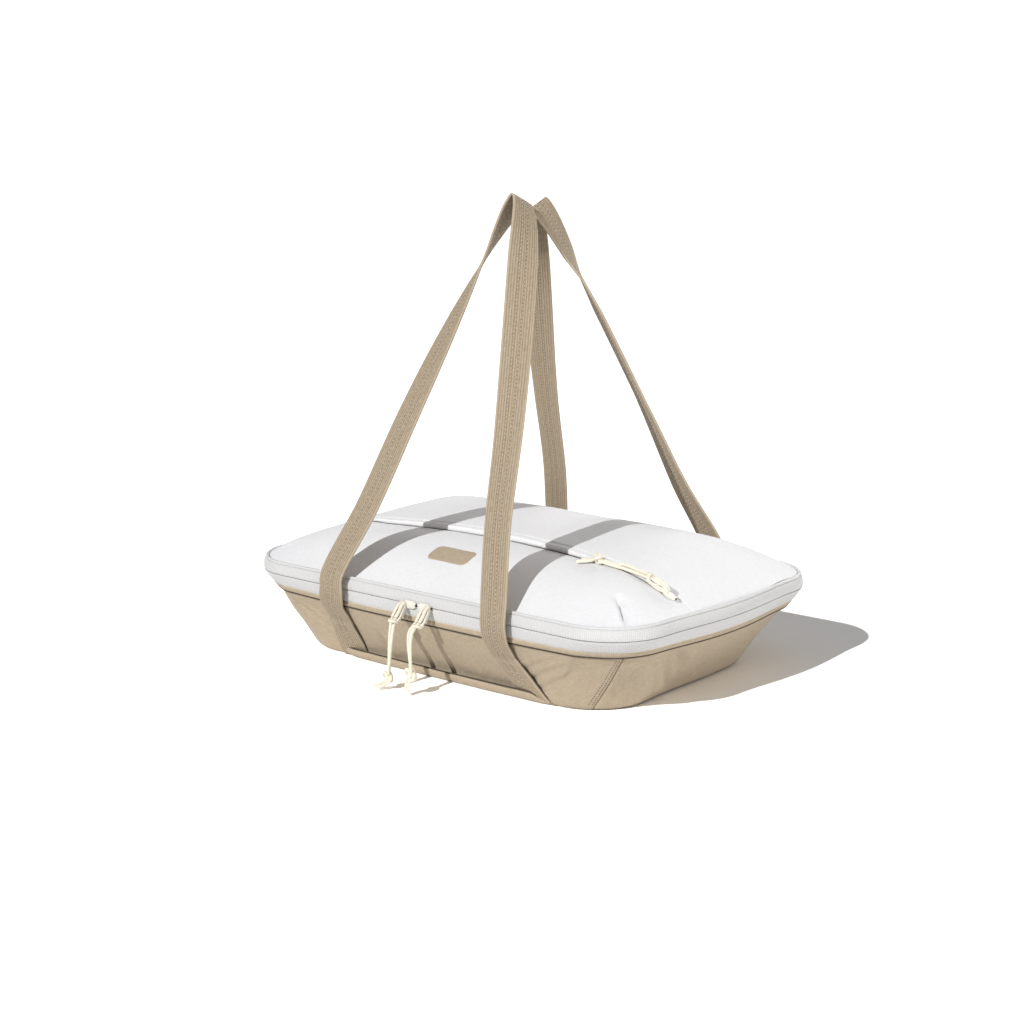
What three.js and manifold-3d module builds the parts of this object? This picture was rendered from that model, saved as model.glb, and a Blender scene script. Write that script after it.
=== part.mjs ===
// Soft insulated casserole carrier: a tapered tub with a zipped domed lid and two webbing carrying loops.
// Millimetres, +Z up, +X along the carrier, -Y towards the zip pulls, origin under the middle of the base.
import * as THREE from 'three';
import { mergeVertices } from 'three/addons/utils/BufferGeometryUtils.js';
import Module from 'manifold-3d';

const wasm = await Module();
wasm.setup();

// Overall sizes
const rimLength = 430;
const rimWidth = 284;
const carrierHeight = 114;
const baseLength = 336;
const baseWidth = 227;
const rimCorner = 53;
const baseCorner = 50;
const rimEndBow = 6.3;
const baseSideBow = 2.1;

// Shared clearances
const gap = 0.3;
const overrun = 20;

// Tub layers
const canvas = 1;
const boardThickness = 2;
const foamThickness = 5;
const liningThickness = 0.6;
const wallTop = 51.5;
const wallRimInset = 2;

// Rim stack, bottom to top
const bindingHeight = 4.6;
const bindingThickness = 2.1;
const bindingInset = 0.8;
const tapeHeight = 9.6;
const tapeThickness = 1.2;
const tapeLean = 0.9;
const zipGap = 1;
const upperTapeHeight = 8.2;
const upperTapeLean = 1.4;
const coilHeight = 1.7;
const coilThickness = 1.3;
const pipingRadius = 1.3;
const rimRestGap = 0.8;

// Lid
const domeEdgeHeight = 74;
const domeEdgeInset = 3;
const domeShoulder = 112;
const domePowerShare = 4.64;
const domeCrownShare = 0.15;
const domeTiltShare = 0.15;
const lidPanelInset = 5;
const lidFoamInset = 6.5;
const lidFoamThickness = 5.5;
const lidFloorClearance = 0.4;

// Lid pocket
const seamFront = 46;
const seamSweep = 10;
const seamSweepReach = 110;
const pocketFall = 4;
const pocketFallReach = 180;
const pocketFallWidth = 60;
const pocketBulge = 4.5;
const weltWidth = 6;
const weltRise = 0.5;
const weltRamp = 3;
const zipChannel = 3;
const pocketTapeHalfWidth = 8;
const pocketTapeThickness = 0.8;
const pocketLiningThickness = 0.8;
const pocketCoilHeight = 0.9;
const patchLength = 42;
const patchWidth = 18;
const patchCorner = 5;
const patchThickness = 0.8;
const patchForward = 97;

// Webbing
const webbingWidth = 25;
const webbingThickness = 2.2;
const webbingEdge = 0.6;
const legSpread = 88;
const stitchHeight = 40;
const rimStandOff = 5.5;
const rimBendTop = 78;
const strapEndHeight = 3;
const baseStripHeight = 8;
const baseStripThickness = 1.2;
const baseStripLift = 0.2;
const baseStripLeft = 107;
const baseStripRight = 122;

// Carrying loops: how far each leg leans in, and its quarter turn, both against its height
const legHeightShares = [0, 0.187, 0.426, 0.661, 0.855, 0.935, 0.98, 1];
const legSpreadShares = [1, 0.8, 0.617, 0.408, 0.218, 0.13, 0.06, 0];
const evenTwist = { heightShares: [0, 0.3, 0.42, 0.54, 0.62, 0.7, 0.78, 0.87, 0.93, 1],
  turnShares: [0, 0, 0.03, 0.1, 0.18, 0.28, 0.41, 0.6, 0.77, 1] };
const earlyTwist = { heightShares: [0, 0.2, 0.35, 0.46, 0.54, 0.7, 0.8, 0.87, 0.93, 1],
  turnShares: [0, 0.03, 0.09, 0.17, 0.24, 0.36, 0.47, 0.6, 0.77, 1] };
const longTwist = { heightShares: [0, 0.1, 0.25, 0.45, 0.72, 0.85, 1],
  turnShares: [0, 0.1, 0.33, 0.5, 0.58, 0.82, 1] };
const loopHeight = 386;
const backLoopDip = 8;
const loopTopOffset = 12.4;
const backFoot = 89;
const frontLoop = { side: -1, apexX: 2, apexY: loopTopOffset, apexZ: loopHeight, leftFoot: -93, rightFoot: 86,
  leftTwist: evenTwist, rightTwist: earlyTwist };
const backLoop = { side: 1, apexX: -1, apexY: loopTopOffset, apexZ: loopHeight - backLoopDip,
  leftFoot: -backFoot, rightFoot: backFoot, leftTwist: evenTwist, rightTwist: longTwist };
const frontLeftFlare = 3;
const frontRightFlare = 16;
const backFlare = 8;

// Zip sliders and pulls
const sliderLength = 14;
const sliderWidth = 9;
const sliderThickness = 2;
const sliderNose = 4;
const sliderMeeting = 4.5;
const sliderSeparation = 1;
const crownWidth = 2.4;
const crownThickness = 1.1;
const crownEndInset = 2.6;
const wireRadius = 0.8;
const ringLength = 15;
const ringWidth = 7;
const ringTiltDegrees = 42;
const cordRadius = 1.25;
const cordSpacing = 2.9;
const knotRadius = 3.8;
const knotHeight = 8;
const knotHeightShares = [0, 0.35, 0.62, 0.85, 1];
const knotWidthShares = [0.5, 0.75, 1, 0.8, 0.45];
const knotLobes = 3;
const knotLobeShare = 1 / 8;
const hitchSlack = 0.7;
const hitchWrapShare = 0.08;
const bightDrop = 3.6;
const pocketSliderInset = 27;
const pocketSliderLift = 0.9;

// Facets
const cornerSteps = 8;
const sideSteps = 6;
const endSteps = 4;
const lidSteps = 16;
const tubeSides = 8;
const pipingSides = 6;
const wireSides = 6;
const wireSteps = 20;
const hitchSteps = 6;
const cordSteps = 40;
const capSteps = 6;
const knotSides = 10;
const lidRows = 5;
const patchSteps = 6;
const strapEndSteps = 6;
const loopEndSteps = 5;
const loopLegSteps = 14;
const loopTopSteps = 14;
const loopDivisions = 800;
const domeSamples = 40;
const strandShares = [0.14, 0.3, 0.5, 0.72, 0.9];
const loopEndShare = 0.055;
const loopTopShare = 0.06;

const palette = {
  taupe: { color: 0xb9a88f, roughness: 0.9 },
  webbing: { color: 0xb0a084, roughness: 0.9 },
  white: { color: 0xe9e9ea, roughness: 0.85 },
  tape: { color: 0xe4e2df, roughness: 0.8 },
  coil: { color: 0xcfc8bf, roughness: 0.5 },
  lining: { color: 0xc9ccd0, roughness: 0.4, metalness: 0.2 },
  foam: { color: 0xf2f0ea, roughness: 1 },
  board: { color: 0x50504e, roughness: 0.7 },
  cord: { color: 0xf3ebd2, roughness: 0.95 },
  enamel: { color: 0xf1ead6, roughness: 0.4, metalness: 0.3 },
};

const carrier = new THREE.Group();

function addPiece(name, geometry, finish) {
  const { color, roughness, metalness = 0 } = palette[finish];
  const mesh = new THREE.Mesh(geometry, new THREE.MeshStandardMaterial({ color, roughness, metalness }));
  mesh.name = name;
  carrier.add(mesh);
}

// Geometry helpers

function signedVolume(vertices, triangles) {
  let total = 0;
  const cross = new THREE.Vector3();
  for (const [a, b, c] of triangles) {
    cross.crossVectors(vertices[b], vertices[c]);
    total += vertices[a].dot(cross);
  }
  return total / 6;
}

// An indexed closed body whose faces are turned outwards by the sign of its volume.
function solidGeometry(vertices, triangles) {
  const inside = signedVolume(vertices, triangles) < 0;
  const geometry = new THREE.BufferGeometry();
  const positions = vertices.flatMap((v) => v.toArray());
  geometry.setAttribute('position', new THREE.Float32BufferAttribute(positions, 3));
  geometry.setIndex(triangles.flatMap(([a, b, c]) => (inside ? [a, c, b] : [a, b, c])));
  return geometry;
}

// Splits the quad between two stations so that every ruled face round the tub has the same diagonals.
function splitQuad(vertices, [a, b, c, d]) {
  const rising = vertices[a].z <= vertices[d].z;
  return rising ? [[a, b, c], [a, c, d]] : [[a, b, d], [b, c, d]];
}

// Joins sections of equal point count, either end to end in a closed loop or with a flat cap at each end.
function sweepSections(sections, closed) {
  const count = sections[0].length;
  const vertices = sections.flat();
  const triangles = [];
  const spans = closed ? sections.length : sections.length - 1;
  for (let i = 0; i < spans; i += 1) {
    const here = i * count;
    const there = ((i + 1) % sections.length) * count;
    for (let j = 0; j < count; j += 1) {
      const k = (j + 1) % count;
      triangles.push(...splitQuad(vertices, [here + j, there + j, there + k, here + k]));
    }
  }
  if (!closed) {
    const last = (sections.length - 1) * count;
    for (let j = 1; j < count - 1; j += 1) {
      triangles.push([0, j, j + 1], [last, last + j + 1, last + j]);
    }
  }
  return solidGeometry(vertices, triangles);
}

// Stacks closed rings of points and closes both ends with a fan round each ring's middle.
function stackRings(rings) {
  const count = rings[0].length;
  const vertices = rings.flat();
  const triangles = [];
  for (let i = 0; i < rings.length - 1; i += 1) {
    for (let j = 0; j < count; j += 1) {
      const k = (j + 1) % count;
      const lower = i * count;
      const upper = lower + count;
      triangles.push(...splitQuad(vertices, [lower + j, lower + k, upper + k, upper + j]));
    }
  }
  for (const [ring, turned] of [[0, true], [rings.length - 1, false]]) {
    const middle = rings[ring].reduce((sum, v) => sum.add(v), new THREE.Vector3()).divideScalar(count);
    const centre = vertices.length;
    vertices.push(middle);
    for (let j = 0; j < count; j += 1) {
      const a = ring * count + j;
      const b = ring * count + ((j + 1) % count);
      triangles.push(turned ? [centre, b, a] : [centre, a, b]);
    }
  }
  return solidGeometry(vertices, triangles);
}

function toSolid(geometry) {
  return new wasm.Manifold(new wasm.Mesh({
    numProp: 3,
    vertProperties: new Float32Array(geometry.getAttribute('position').array),
    triVerts: new Uint32Array(geometry.getIndex().array),
  }));
}

function fromSolid(solid) {
  const mesh = solid.getMesh();
  const geometry = new THREE.BufferGeometry();
  geometry.setAttribute('position', new THREE.Float32BufferAttribute(Array.from(mesh.vertProperties), 3));
  geometry.setIndex(Array.from(mesh.triVerts));
  return geometry;
}

function smoothStep(value) {
  const t = THREE.MathUtils.clamp(value, 0, 1);
  return t * t * (3 - 2 * t);
}

function readTable(shares, values, share) {
  for (let i = 1; i < shares.length; i += 1) {
    if (share <= shares[i]) {
      const t = (share - shares[i - 1]) / (shares[i] - shares[i - 1]);
      return THREE.MathUtils.lerp(values[i - 1], values[i], t);
    }
  }
  return values[values.length - 1];
}

// Rounded outlines: the rim bows out at its ends, the base bows out along its sides

function outlineSpec(rimShare, inset) {
  const mix = (base, rim) => THREE.MathUtils.lerp(base, rim, rimShare);
  return {
    halfLength: mix(baseLength / 2, rimLength / 2) - inset,
    halfWidth: mix(baseWidth / 2, rimWidth / 2) - inset,
    corner: mix(baseCorner, rimCorner) - inset,
    endBow: mix(0, rimEndBow),
    sideBow: mix(baseSideBow, 0),
  };
}

// Points run anticlockwise from the left end of the front side.
function outlinePoints(spec) {
  const cornerX = spec.halfLength - spec.endBow - spec.corner;
  const cornerY = spec.halfWidth - spec.sideBow - spec.corner;
  const points = [];
  const arc = (cx, cy, start) => {
    for (let i = 0; i < cornerSteps; i += 1) {
      const angle = start + (Math.PI / 2) * (i / cornerSteps);
      points.push([cx + spec.corner * Math.cos(angle), cy + spec.corner * Math.sin(angle)]);
    }
  };
  const side = (steps, at) => {
    for (let i = 0; i < steps; i += 1) points.push(at((2 * i) / steps - 1));
  };
  const sideY = (t) => cornerY + spec.corner + spec.sideBow * (1 - t * t);
  const endX = (t) => cornerX + spec.corner + spec.endBow * (1 - t * t);
  side(sideSteps, (t) => [cornerX * t, -sideY(t)]);
  arc(cornerX, -cornerY, -Math.PI / 2);
  side(endSteps, (t) => [endX(t), cornerY * t]);
  arc(cornerX, cornerY, 0);
  side(sideSteps, (t) => [-cornerX * t, sideY(t)]);
  arc(-cornerX, cornerY, Math.PI / 2);
  side(endSteps, (t) => [-endX(t), -cornerY * t]);
  arc(-cornerX, -cornerY, Math.PI);
  return points;
}

const outlineCount = 2 * sideSteps + 2 * endSteps + 4 * cornerSteps;

// Index of the middle of each corner, in the outline's order: front right, back right, back left, front left.
const cornerMiddles = [
  sideSteps + cornerSteps / 2,
  sideSteps + cornerSteps + endSteps + cornerSteps / 2,
  2 * sideSteps + 2 * cornerSteps + endSteps + cornerSteps / 2,
  2 * sideSteps + 3 * cornerSteps + 2 * endSteps + cornerSteps / 2,
];

function outlineAt(points, position) {
  const wrapped = ((position % points.length) + points.length) % points.length;
  const low = Math.floor(wrapped);
  const share = wrapped - low;
  const [ax, ay] = points[low];
  const [bx, by] = points[Math.ceil(wrapped) % points.length];
  return [THREE.MathUtils.lerp(ax, bx, share), THREE.MathUtils.lerp(ay, by, share)];
}

// A profile of [rim share, inset, height] points, carried all round the outline.
function rimBand(profile) {
  const outlines = profile.map(([share, inset]) => outlinePoints(outlineSpec(share, inset)));
  const sections = [];
  for (let i = 0; i < outlineCount; i += 1) {
    sections.push(profile.map(([, , z], j) => new THREE.Vector3(...outlines[j][i], z)));
  }
  return sweepSections(sections, true);
}

const stationMargin = 1 / 20;

// The same profile along part of the outline, between two positions counted in outline points.
function rimStretch(profile, from, to) {
  const outlines = profile.map(([share, inset]) => outlinePoints(outlineSpec(share, inset)));
  const positions = [from];
  for (let i = Math.ceil(from); i < to; i += 1) {
    if (i - from > stationMargin && to - i > stationMargin) positions.push(i);
  }
  positions.push(to);
  const sections = positions.map((p) => (
    profile.map(([, , z], j) => new THREE.Vector3(...outlineAt(outlines[j], p), z))
  ));
  return sweepSections(sections, false);
}

function outlinePlate(rimShare, inset, low, high) {
  const points = outlinePoints(outlineSpec(rimShare, inset));
  return stackRings([low, high].map((z) => points.map(([x, y]) => new THREE.Vector3(x, y, z))));
}

// Position along the front side of the outline, in outline points, for a given x at a given rim share.
function frontPosition(x, rimShare) {
  const spec = outlineSpec(rimShare, 0);
  const reach = spec.halfLength - spec.endBow - spec.corner;
  return ((x / reach + 1) / 2) * sideSteps;
}

// Tub

const tubFloor = canvas + gap;
const boardTop = tubFloor + boardThickness;
const baseFoamTop = boardTop + gap + foamThickness;
const liningTop = baseFoamTop + gap + liningThickness;
const wallInner = canvas + gap;
const wallLeanShare = Math.cos(Math.atan((rimWidth - baseWidth) / 2 / wallTop));
const foamInner = wallInner + foamThickness / wallLeanShare;
const bindingLow = wallTop + gap;
const bindingTop = bindingLow + bindingHeight;
const tapeLow = bindingTop + gap;
const tapeTop = tapeLow + tapeHeight;
const zipLine = tapeTop + zipGap / 2;
const upperTapeLow = tapeTop + zipGap;
const upperTapeTop = upperTapeLow + upperTapeHeight;
const tubTop = tapeTop - gap;
const rimFoamInset = wallRimInset + wallInner;
const rimShareAt = (z) => (z - tubFloor) / (wallTop - tubFloor);

addPiece('base_panel', outlinePlate(0, 0, 0, canvas), 'taupe');
addPiece('base_board', outlinePlate(0, foamInner + gap, tubFloor, boardTop), 'board');
addPiece('base_insulation', outlinePlate(0, foamInner + gap, boardTop + gap, baseFoamTop), 'foam');

const wallProfile = [
  [0, 0, tubFloor],
  [1, wallRimInset, wallTop],
  [1, wallRimInset + canvas, wallTop],
  [0, canvas, tubFloor],
];
const cornerStep = (baseCorner * Math.PI) / 2 / cornerSteps;
const seamShare = gap / 2 / cornerStep;
const wallNames = ['front_wall', 'right_wall', 'back_wall', 'left_wall'];
wallNames.forEach((name, i) => {
  const from = cornerMiddles[(i + 3) % 4] - (i === 0 ? outlineCount : 0) + seamShare;
  addPiece(name, rimStretch(wallProfile, from, cornerMiddles[i] - seamShare), 'taupe');
});

const liningLow = baseFoamTop + gap;
const liningLowShare = rimShareAt(liningLow);
addPiece('wall_insulation', rimBand([
  [0, wallInner, tubFloor],
  [1, rimFoamInset, wallTop],
  [1, rimFoamInset, tubTop],
  [1, wallRimInset + foamInner, tubTop],
  [1, wallRimInset + foamInner, wallTop],
  [liningLowShare, wallRimInset * liningLowShare + foamInner, liningLow],
  [0, foamInner, tubFloor],
]), 'foam');

// The lining is a tub: its rings run down the outside, across under the floor and up the inside.
function liningRing(rimShare, inset, z) {
  return outlinePoints(outlineSpec(rimShare, inset)).map(([x, y]) => new THREE.Vector3(x, y, z));
}
function wallLiningRing(inset, z) {
  return liningRing(rimShareAt(z), inset + wallRimInset * rimShareAt(z), z);
}
const liningOuter = foamInner + gap;
const liningInner = liningOuter + liningThickness;
addPiece('tub_lining', stackRings([
  wallLiningRing(liningOuter, liningLow),
  liningRing(1, wallRimInset + liningOuter, wallTop),
  liningRing(1, wallRimInset + liningOuter, tubTop),
  liningRing(1, wallRimInset + liningInner, tubTop),
  liningRing(1, wallRimInset + liningInner, wallTop),
  wallLiningRing(liningInner, liningTop),
]), 'lining');

addPiece('rim_binding', rimBand([
  [1, bindingInset + gap, bindingLow],
  [1, bindingInset, (bindingLow + bindingTop) / 2],
  [1, bindingInset + gap, bindingTop],
  [1, bindingInset + bindingThickness, bindingTop],
  [1, bindingInset + bindingThickness, bindingLow],
]), 'taupe');

const tapeTopInset = gap / 2;
addPiece('lower_zip_tape', rimBand([
  [1, tapeTopInset + tapeLean, tapeLow],
  [1, tapeTopInset + tapeLean / 3, (tapeLow + tapeTop) / 2],
  [1, tapeTopInset, tapeTop],
  [1, tapeTopInset + tapeThickness, tapeTop],
  [1, tapeTopInset + tapeLean + tapeThickness, tapeLow],
]), 'tape');
addPiece('upper_zip_tape', rimBand([
  [1, tapeTopInset, upperTapeLow],
  [1, tapeTopInset + upperTapeLean / 4, (upperTapeLow + upperTapeTop) / 2],
  [1, tapeTopInset + upperTapeLean, upperTapeTop],
  [1, tapeTopInset + upperTapeLean + tapeThickness, upperTapeTop],
  [1, tapeTopInset + tapeThickness, upperTapeLow],
]), 'tape');

// The coils run round the front and both ends, and stop where the hinge strip joins the lid to the tub.
const coilOuter = tapeTopInset + tapeThickness + gap;
const coilProfile = (low) => [
  [1, coilOuter, low],
  [1, coilOuter, low + coilHeight],
  [1, coilOuter + coilThickness, low + coilHeight],
  [1, coilOuter + coilThickness, low],
];
const hingeFrom = cornerMiddles[1] + cornerSteps / 2;
const hingeTo = cornerMiddles[2] - cornerSteps / 2;
const lowerCoilLow = zipLine - gap / 2 - coilHeight;
const upperCoilLow = zipLine + gap / 2;
addPiece('lower_zip_coil', rimStretch(coilProfile(lowerCoilLow), hingeTo - outlineCount, hingeFrom), 'coil');
addPiece('upper_zip_coil', rimStretch(coilProfile(upperCoilLow), hingeTo - outlineCount, hingeFrom), 'coil');

const stopShare = 1 / 3;
const stopProfile = coilProfile(lowerCoilLow);
const stopGap = stopShare / 4;
addPiece('right_zip_end_stop', rimStretch(stopProfile, hingeFrom + stopGap, hingeFrom + stopShare), 'enamel');
addPiece('left_zip_end_stop', rimStretch(stopProfile, hingeTo - stopShare, hingeTo - stopGap), 'enamel');

const hingeStripThickness = 0.8;
const hingeStripOuter = tapeTopInset - gap - hingeStripThickness;
addPiece('hinge_strip_lower', rimStretch([
  [1, hingeStripOuter + tapeLean, tapeLow],
  [1, hingeStripOuter, zipLine - gap / 2],
  [1, hingeStripOuter + hingeStripThickness, zipLine - gap / 2],
  [1, hingeStripOuter + hingeStripThickness + tapeLean / 3, (tapeLow + tapeTop) / 2],
  [1, hingeStripOuter + hingeStripThickness + tapeLean, tapeLow],
], hingeFrom, hingeTo), 'tape');
addPiece('hinge_strip_upper', rimStretch([
  [1, hingeStripOuter, zipLine + gap / 2],
  [1, hingeStripOuter + upperTapeLean / 4, (upperTapeLow + upperTapeTop) / 2],
  [1, hingeStripOuter + upperTapeLean, upperTapeTop],
  [1, hingeStripOuter + hingeStripThickness + upperTapeLean, upperTapeTop],
  [1, hingeStripOuter + hingeStripThickness + upperTapeLean / 4, (upperTapeLow + upperTapeTop) / 2],
  [1, hingeStripOuter + hingeStripThickness, zipLine + gap / 2],
], hingeFrom, hingeTo), 'tape');

const pipingInset = lidPanelInset - gap - pipingRadius;
const pipingHeight = upperTapeTop + pipingRadius + gap / 2;
const pipingProfile = [];
for (let i = 0; i < pipingSides; i += 1) {
  const angle = (2 * Math.PI * i) / pipingSides;
  const inset = pipingInset + pipingRadius * Math.cos(angle);
  pipingProfile.push([1, inset, pipingHeight + pipingRadius * Math.sin(angle)]);
}
addPiece('lid_piping', rimBand(pipingProfile), 'white');

// Lid surface: a soft dome over the rim outline, lower and fuller in front where the pocket lies

const domeHalfLength = rimLength / 2 - domeEdgeInset;
const domeHalfWidth = rimWidth / 2 - domeEdgeInset;

function domeShape(x, y) {
  const reachX = Math.max(0, 1 - (domeHalfLength - Math.abs(x)) / domeShoulder);
  const reachY = Math.max(0, 1 - (domeHalfWidth - Math.abs(y)) / domeShoulder);
  const edge = (reachX ** domePowerShare + reachY ** domePowerShare) ** (1 / domePowerShare);
  const rise = 1 - edge * edge;
  const crown = (1 - (x / domeHalfLength) ** 2) * (1 - (y / domeHalfWidth) ** 2);
  return rise * (1 + (domeTiltShare * y) / domeHalfWidth) + domeCrownShare * crown;
}

let domePeak = 0;
for (let i = 0; i <= domeSamples; i += 1) {
  domePeak = Math.max(domePeak, domeShape(0, (domeHalfWidth * i) / domeSamples));
}

function domeHeight(x, y) {
  return domeEdgeHeight + ((carrierHeight - domeEdgeHeight) * domeShape(x, y)) / domePeak;
}

function seamY(x) {
  return -seamFront - seamSweep * Math.min(1, Math.abs(x) / seamSweepReach) ** 2;
}

function pocketDrop(x, y) {
  const along = Math.max(0, 1 - (x / pocketFallReach) ** 2);
  return pocketFall * along * smoothStep((y - seamY(x) + pocketFallWidth) / pocketFallWidth);
}

function pocketHeight(x, y) {
  const across = (y + domeHalfWidth) / (seamY(x) + domeHalfWidth);
  const along = Math.max(0, 1 - (x / domeHalfLength) ** 2);
  const bulge = pocketBulge * along * Math.sin(Math.PI * THREE.MathUtils.clamp(across, 0, 1));
  return domeHeight(x, y) - pocketDrop(x, y) + bulge;
}

// A slab between two height functions over a grid whose rows follow the given lines.
function heightSlab(xs, rows, top, bottom) {
  const columns = xs.length;
  const rowCount = rows.length;
  const vertices = [];
  for (const surface of [bottom, top]) {
    for (const x of xs) {
      for (const row of rows) {
        const y = row(x);
        vertices.push(new THREE.Vector3(x, y, surface(x, y)));
      }
    }
  }
  const half = columns * rowCount;
  const at = (i, j, upper) => (upper ? half : 0) + i * rowCount + j;
  const triangles = [];
  for (let i = 0; i < columns - 1; i += 1) {
    for (let j = 0; j < rowCount - 1; j += 1) {
      triangles.push([at(i, j, true), at(i + 1, j, true), at(i + 1, j + 1, true)]);
      triangles.push([at(i, j, true), at(i + 1, j + 1, true), at(i, j + 1, true)]);
      triangles.push([at(i, j, false), at(i + 1, j + 1, false), at(i + 1, j, false)]);
      triangles.push([at(i, j, false), at(i, j + 1, false), at(i + 1, j + 1, false)]);
    }
  }
  const wall = (a, b) => {
    triangles.push([a(false), b(false), b(true)], [a(false), b(true), a(true)]);
  };
  for (let i = 0; i < columns - 1; i += 1) {
    wall((u) => at(i, 0, u), (u) => at(i + 1, 0, u));
    wall((u) => at(i + 1, rowCount - 1, u), (u) => at(i, rowCount - 1, u));
  }
  for (let j = 0; j < rowCount - 1; j += 1) {
    wall((u) => at(columns - 1, j, u), (u) => at(columns - 1, j + 1, u));
    wall((u) => at(0, j + 1, u), (u) => at(0, j, u));
  }
  return solidGeometry(vertices, triangles);
}

function evenly(count, low, high) {
  return Array.from({ length: count + 1 }, (_, i) => THREE.MathUtils.lerp(low, high, i / count));
}

function rowsBetween(count, from, to) {
  return Array.from({ length: count + 1 }, (_, i) => (x) => THREE.MathUtils.lerp(from(x), to(x), i / count));
}

function clipToOutline(geometry, inset) {
  const prism = outlinePlate(1, inset, domeEdgeHeight - overrun, carrierHeight + overrun);
  return fromSolid(toSolid(geometry).intersect(toSolid(prism)));
}

const lidColumns = evenly(lidSteps, -rimLength / 2, rimLength / 2);
const pocketColumns = lidColumns.slice(1, -1);
const frontEdge = () => -rimWidth / 2;
const backEdge = () => rimWidth / 2;
const channelFront = (x) => seamY(x) - zipChannel;
const weltBack = (x) => seamY(x) + weltWidth;
const panelStart = (x) => weltBack(x) + gap;
const rampEnd = (x) => weltBack(x) + weltRamp;
const pocketRows = [...rowsBetween(lidRows, frontEdge, seamY), weltBack];
const backRows = rowsBetween(lidRows, rampEnd, backEdge);
const pocketTapeDepth = canvas + 2 * gap;
const pocketLiningDepth = pocketTapeDepth + pocketTapeThickness + gap;
const pocketFoamDepth = pocketLiningDepth + pocketLiningThickness + gap;

addPiece('lid_pocket_panel', clipToOutline(heightSlab(
  lidColumns,
  rowsBetween(lidRows, frontEdge, channelFront),
  pocketHeight,
  (x, y) => pocketHeight(x, y) - canvas,
), lidPanelInset), 'white');
addPiece('lid_back_panel', clipToOutline(heightSlab(
  lidColumns,
  [panelStart, ...backRows],
  domeHeight,
  (x, y) => domeHeight(x, y) - canvas,
), lidPanelInset), 'white');
addPiece('pocket_welt', clipToOutline(heightSlab(
  lidColumns,
  rowsBetween(1, seamY, weltBack),
  (x, y) => domeHeight(x, y) + weltRise,
  (x, y) => pocketHeight(x, y) - canvas,
), lidPanelInset), 'white');

addPiece('pocket_zip_tape', clipToOutline(heightSlab(
  pocketColumns,
  [(x) => seamY(x) - pocketTapeHalfWidth, channelFront, seamY, (x) => weltBack(x) - gap],
  (x, y) => pocketHeight(x, y) - pocketTapeDepth,
  (x, y) => pocketHeight(x, y) - pocketTapeDepth - pocketTapeThickness,
), lidFoamInset), 'tape');
addPiece('pocket_zip_coil', clipToOutline(heightSlab(
  pocketColumns,
  rowsBetween(1, (x) => channelFront(x) + gap, (x) => seamY(x) - gap),
  (x, y) => pocketHeight(x, y) - canvas + pocketCoilHeight,
  (x, y) => pocketHeight(x, y) - canvas,
), lidFoamInset), 'coil');
addPiece('pocket_lining', clipToOutline(heightSlab(
  lidColumns,
  pocketRows,
  (x, y) => pocketHeight(x, y) - pocketLiningDepth,
  (x, y) => pocketHeight(x, y) - pocketLiningDepth - pocketLiningThickness,
), lidFoamInset), 'white');

const lidFloor = upperTapeLow + lidFloorClearance;
const lidFoamFloor = lidFloor + liningThickness + gap;
function lidFoamTop(x, y) {
  const front = pocketHeight(x, y) - pocketFoamDepth;
  const back = domeHeight(x, y) - canvas - gap;
  return THREE.MathUtils.lerp(front, back, THREE.MathUtils.clamp((y - weltBack(x)) / weltRamp, 0, 1));
}
function lidFoamBottom(x, y) {
  const depth = pocketFoamDepth + lidFoamThickness;
  return Math.max(domeHeight(x, y) - depth, lidFoamFloor);
}
addPiece('lid_insulation', clipToOutline(heightSlab(
  lidColumns,
  [...pocketRows, ...backRows],
  lidFoamTop,
  lidFoamBottom,
), lidFoamInset), 'foam');
addPiece('lid_lining', clipToOutline(heightSlab(
  lidColumns,
  [...pocketRows, ...backRows],
  (x, y) => lidFoamBottom(x, y) - gap,
  (x, y) => lidFoamBottom(x, y) - gap - liningThickness,
), lidPanelInset), 'lining');

// Plain woven label: a rounded rectangle that follows the pocket panel
function patchOutline(low, high) {
  const cx = patchLength / 2 - patchCorner;
  const cy = patchWidth / 2 - patchCorner;
  const ring = [];
  [[cx, -cy], [cx, cy], [-cx, cy], [-cx, -cy]].forEach(([x, y], quarter) => {
    for (let i = 0; i <= capSteps; i += 1) {
      const angle = (Math.PI / 2) * (quarter - 1 + i / capSteps);
      ring.push([x + patchCorner * Math.cos(angle), y + patchCorner * Math.sin(angle) - patchForward]);
    }
  });
  return stackRings([low, high].map((z) => ring.map(([x, y]) => new THREE.Vector3(x, y, z))));
}
const patchSlab = heightSlab(
  evenly(patchSteps, -patchLength, patchLength),
  rowsBetween(patchSteps, () => -patchForward - patchWidth, () => -patchForward + patchWidth),
  (x, y) => pocketHeight(x, y) + gap + patchThickness,
  (x, y) => pocketHeight(x, y) + gap,
);
addPiece('lid_patch', fromSolid(toSolid(patchSlab).intersect(
  toSolid(patchOutline(domeEdgeHeight, carrierHeight + overrun)),
)), 'webbing');

// Webbing

// Outline of the webbing's section: u across its width, v through its thickness.
function webbingSection(centre, across, normal, widening = 1) {
  const halfWidth = (webbingWidth * widening) / 2;
  const halfThickness = webbingThickness / 2;
  const edge = halfThickness - webbingEdge / 2;
  const shape = [
    [halfWidth, -edge], [halfWidth, edge], [halfWidth - webbingEdge, halfThickness],
    [-halfWidth + webbingEdge, halfThickness], [-halfWidth, edge], [-halfWidth, -edge],
    [-halfWidth + webbingEdge, -halfThickness], [halfWidth - webbingEdge, -halfThickness],
  ];
  return shape.map(([u, v]) => centre.clone().addScaledVector(across, u).addScaledVector(normal, v));
}

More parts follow.
